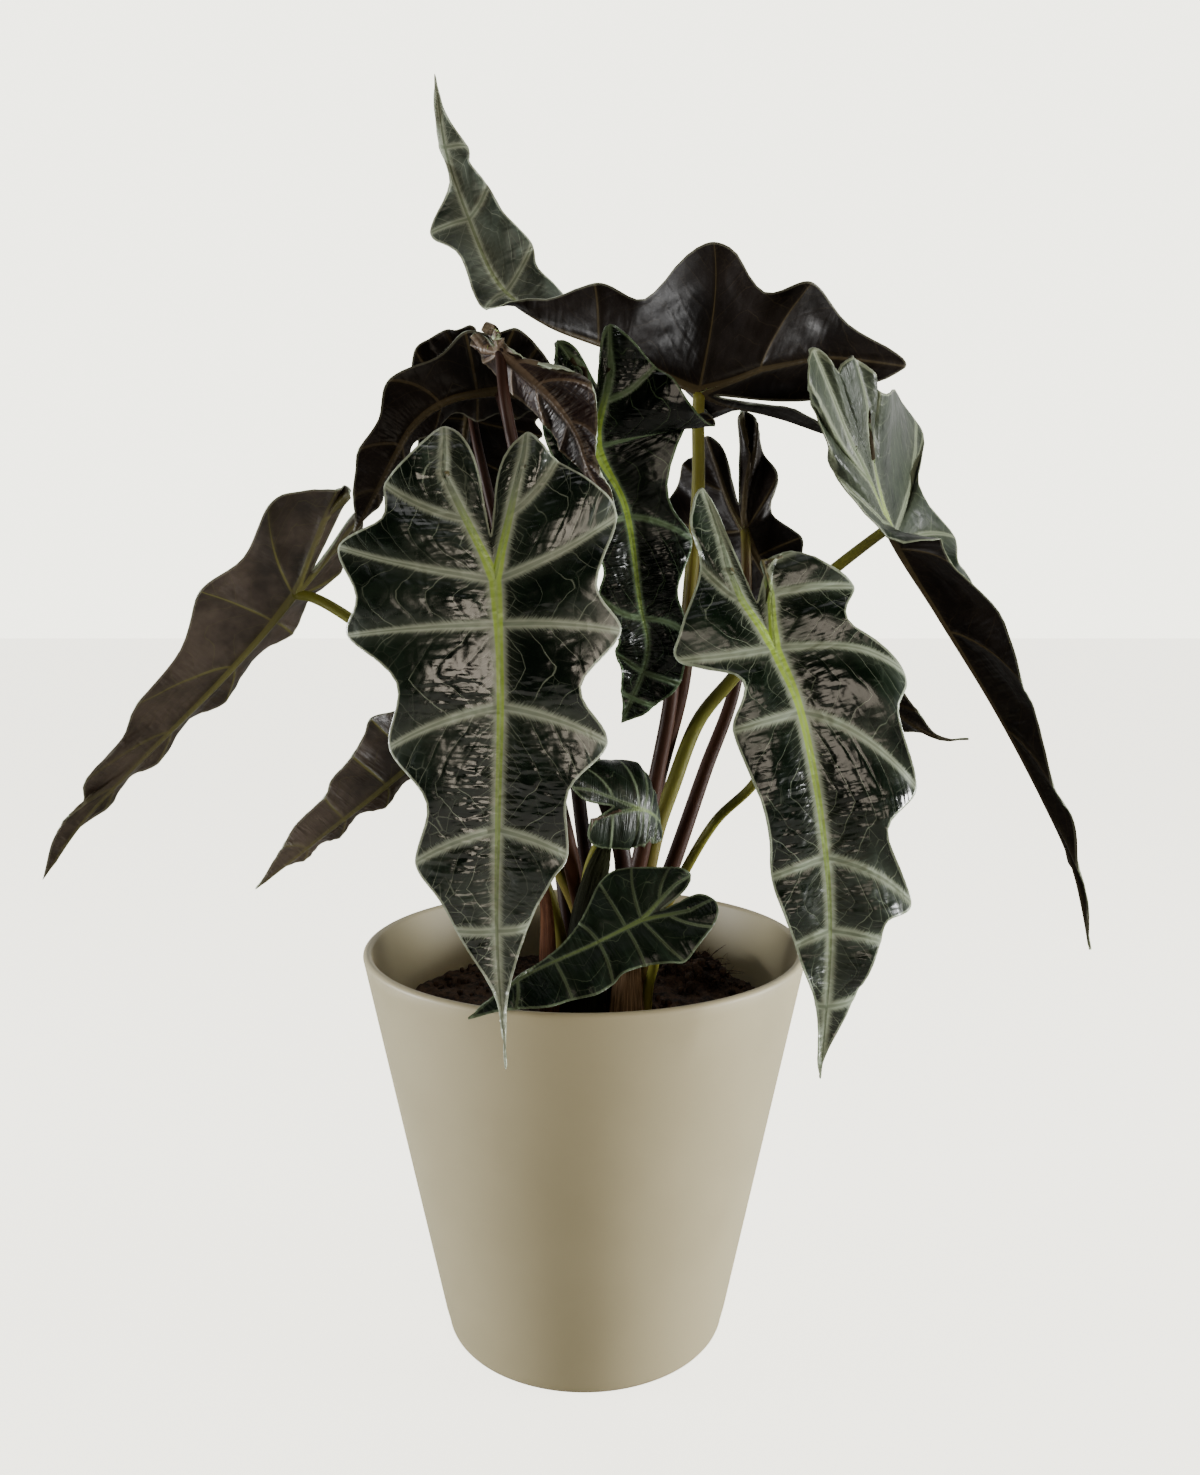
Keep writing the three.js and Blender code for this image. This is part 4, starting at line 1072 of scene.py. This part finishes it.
def lump_mesh(rng, centre, size):
    """One small rough crumb."""
    points, faces = [], []
    rings, sides = 4, 6
    stretch = rng.uniform(0.6, 1.2, 3) * size
    tilt = rng.uniform(0, math.pi)
    for i in range(1, rings):
        polar = math.pi * i / rings
        for j in range(sides):
            angle = 2 * math.pi * j / sides + tilt
            level = math.sin(polar)
            spot = np.array([level * math.cos(angle), level * math.sin(angle), math.cos(polar)])
            points.append(centre + spot * stretch * rng.uniform(0.75, 1.2))
    points.append(centre + [0, 0, stretch[2]])
    points.append(centre - [0, 0, stretch[2]])
    for i in range(rings - 2):
        for j in range(sides):
            a, b = i * sides + j, i * sides + (j + 1) % sides
            faces.append([a, a + sides, b + sides, b])
    last = (rings - 2) * sides
    for j in range(sides):
        faces.append([len(points) - 2, j, (j + 1) % sides])
        faces.append([len(points) - 1, last + (j + 1) % sides, last + j])
    return points, faces


def crumbs_mesh():
    """Loose crumbs over the soil, thickest on the clump at the back right."""
    rng = np.random.default_rng(7)
    points, faces = [], []
    reach = pot_inside(soil_top) - 5
    for k in range(crumb_count):
        if k % 3 == 0:
            x, y = clump_x + rng.normal(0, 9), clump_y + rng.normal(0, 9)
        else:
            angle, far = rng.uniform(0, 2 * math.pi), reach * math.sqrt(rng.uniform(0, 1))
            x, y = far * math.cos(angle), far * math.sin(angle)
        if math.hypot(x, y) > reach:
            continue
        size = rng.uniform(0.5, 1.7) if k % 9 else rng.uniform(1.6, 2.8)
        centre = np.array([x, y, float(soil_height(x, y)) + 0.6 * size])
        more, shapes = lump_mesh(rng, centre, size)
        faces += [[len(points) + v for v in shape] for shape in shapes]
        points += more
    return points, faces


def fibres_mesh():
    """Short curved peat fibres that stick out of the clump and lie on the soil."""
    rng = np.random.default_rng(11)
    points, faces = [], []
    rings, sides = 7, 4
    for k in range(fibre_count):
        spread, nearer = (8, 0) if k % 4 else (26, 18)
        x, y = clump_x + rng.normal(0, spread), clump_y + rng.normal(0, spread) - nearer
        if math.hypot(x, y) > pot_inside(soil_top) - 12:
            continue
        spot = np.array([x, y, float(soil_height(x, y)) - 0.5])
        heading = unit(np.array([rng.normal(), rng.normal(), rng.uniform(0.1, 0.9)]))
        curl = rng.normal(0, 0.35, 3)
        length, thick = rng.uniform(5, 13), rng.uniform(0.14, 0.32)
        faces += tube_faces(rings, sides, len(points))
        for i in range(rings):
            aside = unit(np.cross(heading, [0.2, 0.3, 1.0]))
            other = np.cross(heading, aside)
            radius = thick * (1 - 0.75 * i / (rings - 1))
            for j in range(sides):
                angle = 2 * math.pi * j / sides
                around = math.cos(angle) * aside + math.sin(angle) * other
                points.append(spot + radius * around)
            spot = spot + heading * length / (rings - 1)
            heading = unit(heading + curl * 0.35 + [0, 0, -0.12])
    return points, faces


# Assembly.

peat = potting_soil("Potting soil")
greige = matt_pot("Greige matt plastic")
add_piece("planter_finish", *planter_mesh(), [greige], "planter", ["planter"])
add_piece("soil_crumbly", *soil_mesh(), [peat], "soil", ["soil"])
add_piece("soil_crumbs", *crumbs_mesh(), [peat], "soil")
add_piece("soil_fibres", *fibres_mesh(), [peat], "soil")

glossy = upper_side(
    "Blade upper side", (0.0012, 0.0034, 0.0014), (0.0036, 0.0092, 0.0032),
    (0.270, 0.305, 0.225), (0.26, 0.39, 0.040), rough=0.25, sheen=0.6)
calm_glossy = upper_side(
    "Blade upper side, calmer", (0.0012, 0.0036, 0.0014), (0.0036, 0.0098, 0.0032),
    (0.255, 0.300, 0.215), (0.28, 0.43, 0.035), rough=0.27, crease=0.75, sheen=0.36)
# Darker copy of the blade colour, veins too, for the middle leaf: painted shade.
painted_shade_glossy = upper_side(
    "Blade upper side, shaded", (0.0005, 0.0012, 0.0006), (0.0012, 0.0028, 0.0010),
    (0.070, 0.105, 0.055), (0.150, 0.230, 0.018),
    rib=1.3, vein=0.4, feather=1.3, haze=0.04, sheen=0.2)
# Paler copy of the blade colour for the right leaf: painted light and sheen on its upper side.
painted_light_glossy = upper_side(
    "Blade upper side, painted light", (0.007, 0.011, 0.006), (0.018, 0.025, 0.015),
    (0.145, 0.165, 0.110), (0.150, 0.205, 0.040),
    rib=1.2, vein=0.4, feather=1.5, haze=0.16, rough=0.38, crease=0.6, sheen=0.12)
# Palest copy of the blade colour for the top leaf: painted light and sheen on its upper side.
strongest_painted_light_glossy = upper_side(
    "Blade upper side, strongest painted light", (0.018, 0.024, 0.018), (0.046, 0.055, 0.042),
    (0.270, 0.300, 0.225), (0.235, 0.295, 0.100),
    rib=1.3, vein=0.5, feather=2.1, haze=0.22, rough=0.38, crease=0.6, sheen=0.15)
young_glossy = upper_side(
    "Young blade upper side", (0.0012, 0.0038, 0.0015), (0.0034, 0.0088, 0.0032),
    (0.080, 0.105, 0.060), (0.095, 0.135, 0.038),
    rib=0.6, vein=0.18, feather=0.8, haze=0.05, rough=0.34, crease=0.4, sheen=0.2)
purple_back = underside(
    "Blade underside", (0.0180, 0.0132, 0.0102), (0.0600, 0.0455, 0.0350),
    (0.095, 0.090, 0.026), (0.17, 0.17, 0.12))
# Darker copy of the underside colour: painted shade on the undersides that lie out of the light.
painted_shade_back = underside(
    "Blade underside, painted shade", (0.0026, 0.0018, 0.0014), (0.0058, 0.0038, 0.0028),
    (0.040, 0.030, 0.014), (0.12, 0.12, 0.085), rough=0.4, sheen=0.07)
red_back = underside(
    "Young blade underside", (0.0055, 0.0024, 0.0022), (0.0130, 0.0056, 0.0050),
    (0.095, 0.066, 0.042), (0.10, 0.084, 0.050), net=0.75, spacing=2.6)
# Each blade's upper side and underside; the paler and darker copies of one colour are painted light
# and painted shade.
blade_finishes = {
    "right": (painted_light_glossy, painted_shade_back),
    "front_left": (glossy, purple_back),
    "top": (strongest_painted_light_glossy, painted_shade_back),
    "middle": (painted_shade_glossy, painted_shade_back),
    "back_right": (calm_glossy, painted_shade_back),
    "small_upper": (young_glossy, red_back),
    "small_lower": (young_glossy, red_back),
    "curled": (calm_glossy, red_back),
    "back_left": (calm_glossy, painted_shade_back),
    "upper_left": (calm_glossy, painted_shade_back),
}

olive_stem = stem_skin("Olive stem", (0.060, 0.034, 0.012), (0.110, 0.112, 0.016), 0.05, 0.6)
brown_stem = stem_skin("Brown stem", (0.030, 0.0110, 0.0050), (0.085, 0.085, 0.014), 0.8, 1.15)
half_olive_stem = stem_skin(
    "Brown stem, olive above", (0.030, 0.0110, 0.0050), (0.120, 0.118, 0.016), 0.6, 0.88)
dark_stem = stem_skin("Dark stem", (0.012, 0.0042, 0.0026), (0.022, 0.0085, 0.0048), 0.4, 1.0)
olive_stemmed = ("front_right", "left", "small_upper", "small_lower", "low_left", "right")
stem_finishes = dict.fromkeys(olive_stemmed, olive_stem)
stem_finishes |= dict.fromkeys(("curled", "back_left", "upper_left"), dark_stem)
stem_finishes["top"] = half_olive_stem

for name, leaf in leaves.items():
    blade = Blade(**leaf)
    points, faces, finish, maps = blade.mesh()
    finishes = blade_finishes.get(name, (calm_glossy, purple_back))
    add_piece(f"blade_{name}", points, faces, finishes, "blade", [f"leaf_{name}"], finish, maps)
    points, faces, maps = stem_mesh(blade)
    skins = [stem_finishes.get(name, brown_stem)]
    add_piece(f"petiole_{name}", points, faces, skins, "stem", [f"stem_{name}"], maps=maps)

sheath_finishes = {
    "left": papery(
        "Red-brown sheath", (0.022, 0.008, 0.004), (0.085, 0.034, 0.015), (0.05, 0.02, 0.01)),
    "front": papery(
        "Tan sheath", (0.055, 0.034, 0.018), (0.20, 0.13, 0.075), (0.11, 0.065, 0.034)),
    "young": papery(
        "Green sheath", (0.0018, 0.0024, 0.0008), (0.0060, 0.0064, 0.0020), (0.014, 0.016, 0.004)),
}
for name, sheath in sheaths.items():
    points, faces, maps = sheath_mesh(**sheath)
    skins = [sheath_finishes[name]]
    add_piece(f"scale_{name}", points, faces, skins, "sheath", [f"sheath_{name}"], maps=maps)


# Floor, light and camera, in metres.

floor_mesh = bpy.data.meshes.new("floor")
floor_mesh.from_pydata([(-6, -4, 0), (6, -4, 0), (6, 9, 0), (-6, 9, 0)], [], [(0, 1, 2, 3)])
floor = linked("floor", floor_mesh)
floor_finish, w, shader = new_finish("Pale floor", roughness=0.6)
w.plug(shader["Base Color"], (0.5, 0.49, 0.46))
w.plug(shader["Emission Color"], (1.0, 0.97, 0.84))
w.plug(shader["Emission Strength"], w.times(w.node("LightPath").outputs["Is Camera Ray"], 3.1))
floor_mesh.materials.append(floor_finish)

# The room is light behind the plant and dark behind the viewer; the camera sees a pale wall.
world = bpy.data.worlds.new("Soft room light")
bpy.context.scene.world = world
world.use_nodes = True
w = Wiring(world.node_tree)
background = world.node_tree.nodes["Background"].inputs
facing = w.node("SeparateXYZ")
w.plug(facing.inputs[0], w.node("TexCoord").outputs["Generated"])
room = w.mix(w.fade(facing.outputs[1], -0.1, 0.65), (0.02, 0.02, 0.02), (1.0, 0.99, 0.96))
seen = w.node("LightPath").outputs["Is Camera Ray"]
w.plug(background["Color"], w.mix(seen, room, (4.1, 4.05, 3.5)))
w.plug(background["Strength"], 1.0)


def softbox(name, place, target_height, size, power, tint=(1.0, 1.0, 1.0)):
    lamp = bpy.data.lights.new(name, "AREA")
    lamp.color = tint
    lamp.shape = "RECTANGLE"
    lamp.size, lamp.size_y = size
    lamp.energy = power
    stand = linked(name, lamp)
    stand.location = place
    aim = Vector((0.0, 0.0, target_height)) - Vector(place)
    stand.rotation_euler = aim.to_track_quat("-Z", "Y").to_euler()


softbox("key_right", (1.3, -0.16, 0.2), 0.2, (0.5, 0.34), 42)
softbox("fill_left", (-1.25, -0.1, 0.2), 0.2, (0.45, 0.32), 28)
softbox("front", (0.34, -1.03, 0.62), 0.24, (0.46, 0.62), 5.8, (1.0, 0.88, 0.72))
softbox("top", (0.1, 0.1, 1.4), 0.2, (0.8, 0.8), 2)

# Solved from the ellipses of the planter's rim and foot.
camera_place = (0.0061, -0.4805, 0.2998)
camera_dip = 0.114
photo_wide, photo_high = 1200, 1475
sensor = 36

camera = bpy.data.cameras.new("portrait")
camera.lens = sensor * photo_wide / photo_high
camera.sensor_width = sensor
camera.clip_start, camera.clip_end = 0.01, 50
stand = linked("portrait", camera)
stand.location = camera_place
stand.rotation_euler = (math.pi / 2 - camera_dip, 0, 0)
bpy.context.scene.camera = stand
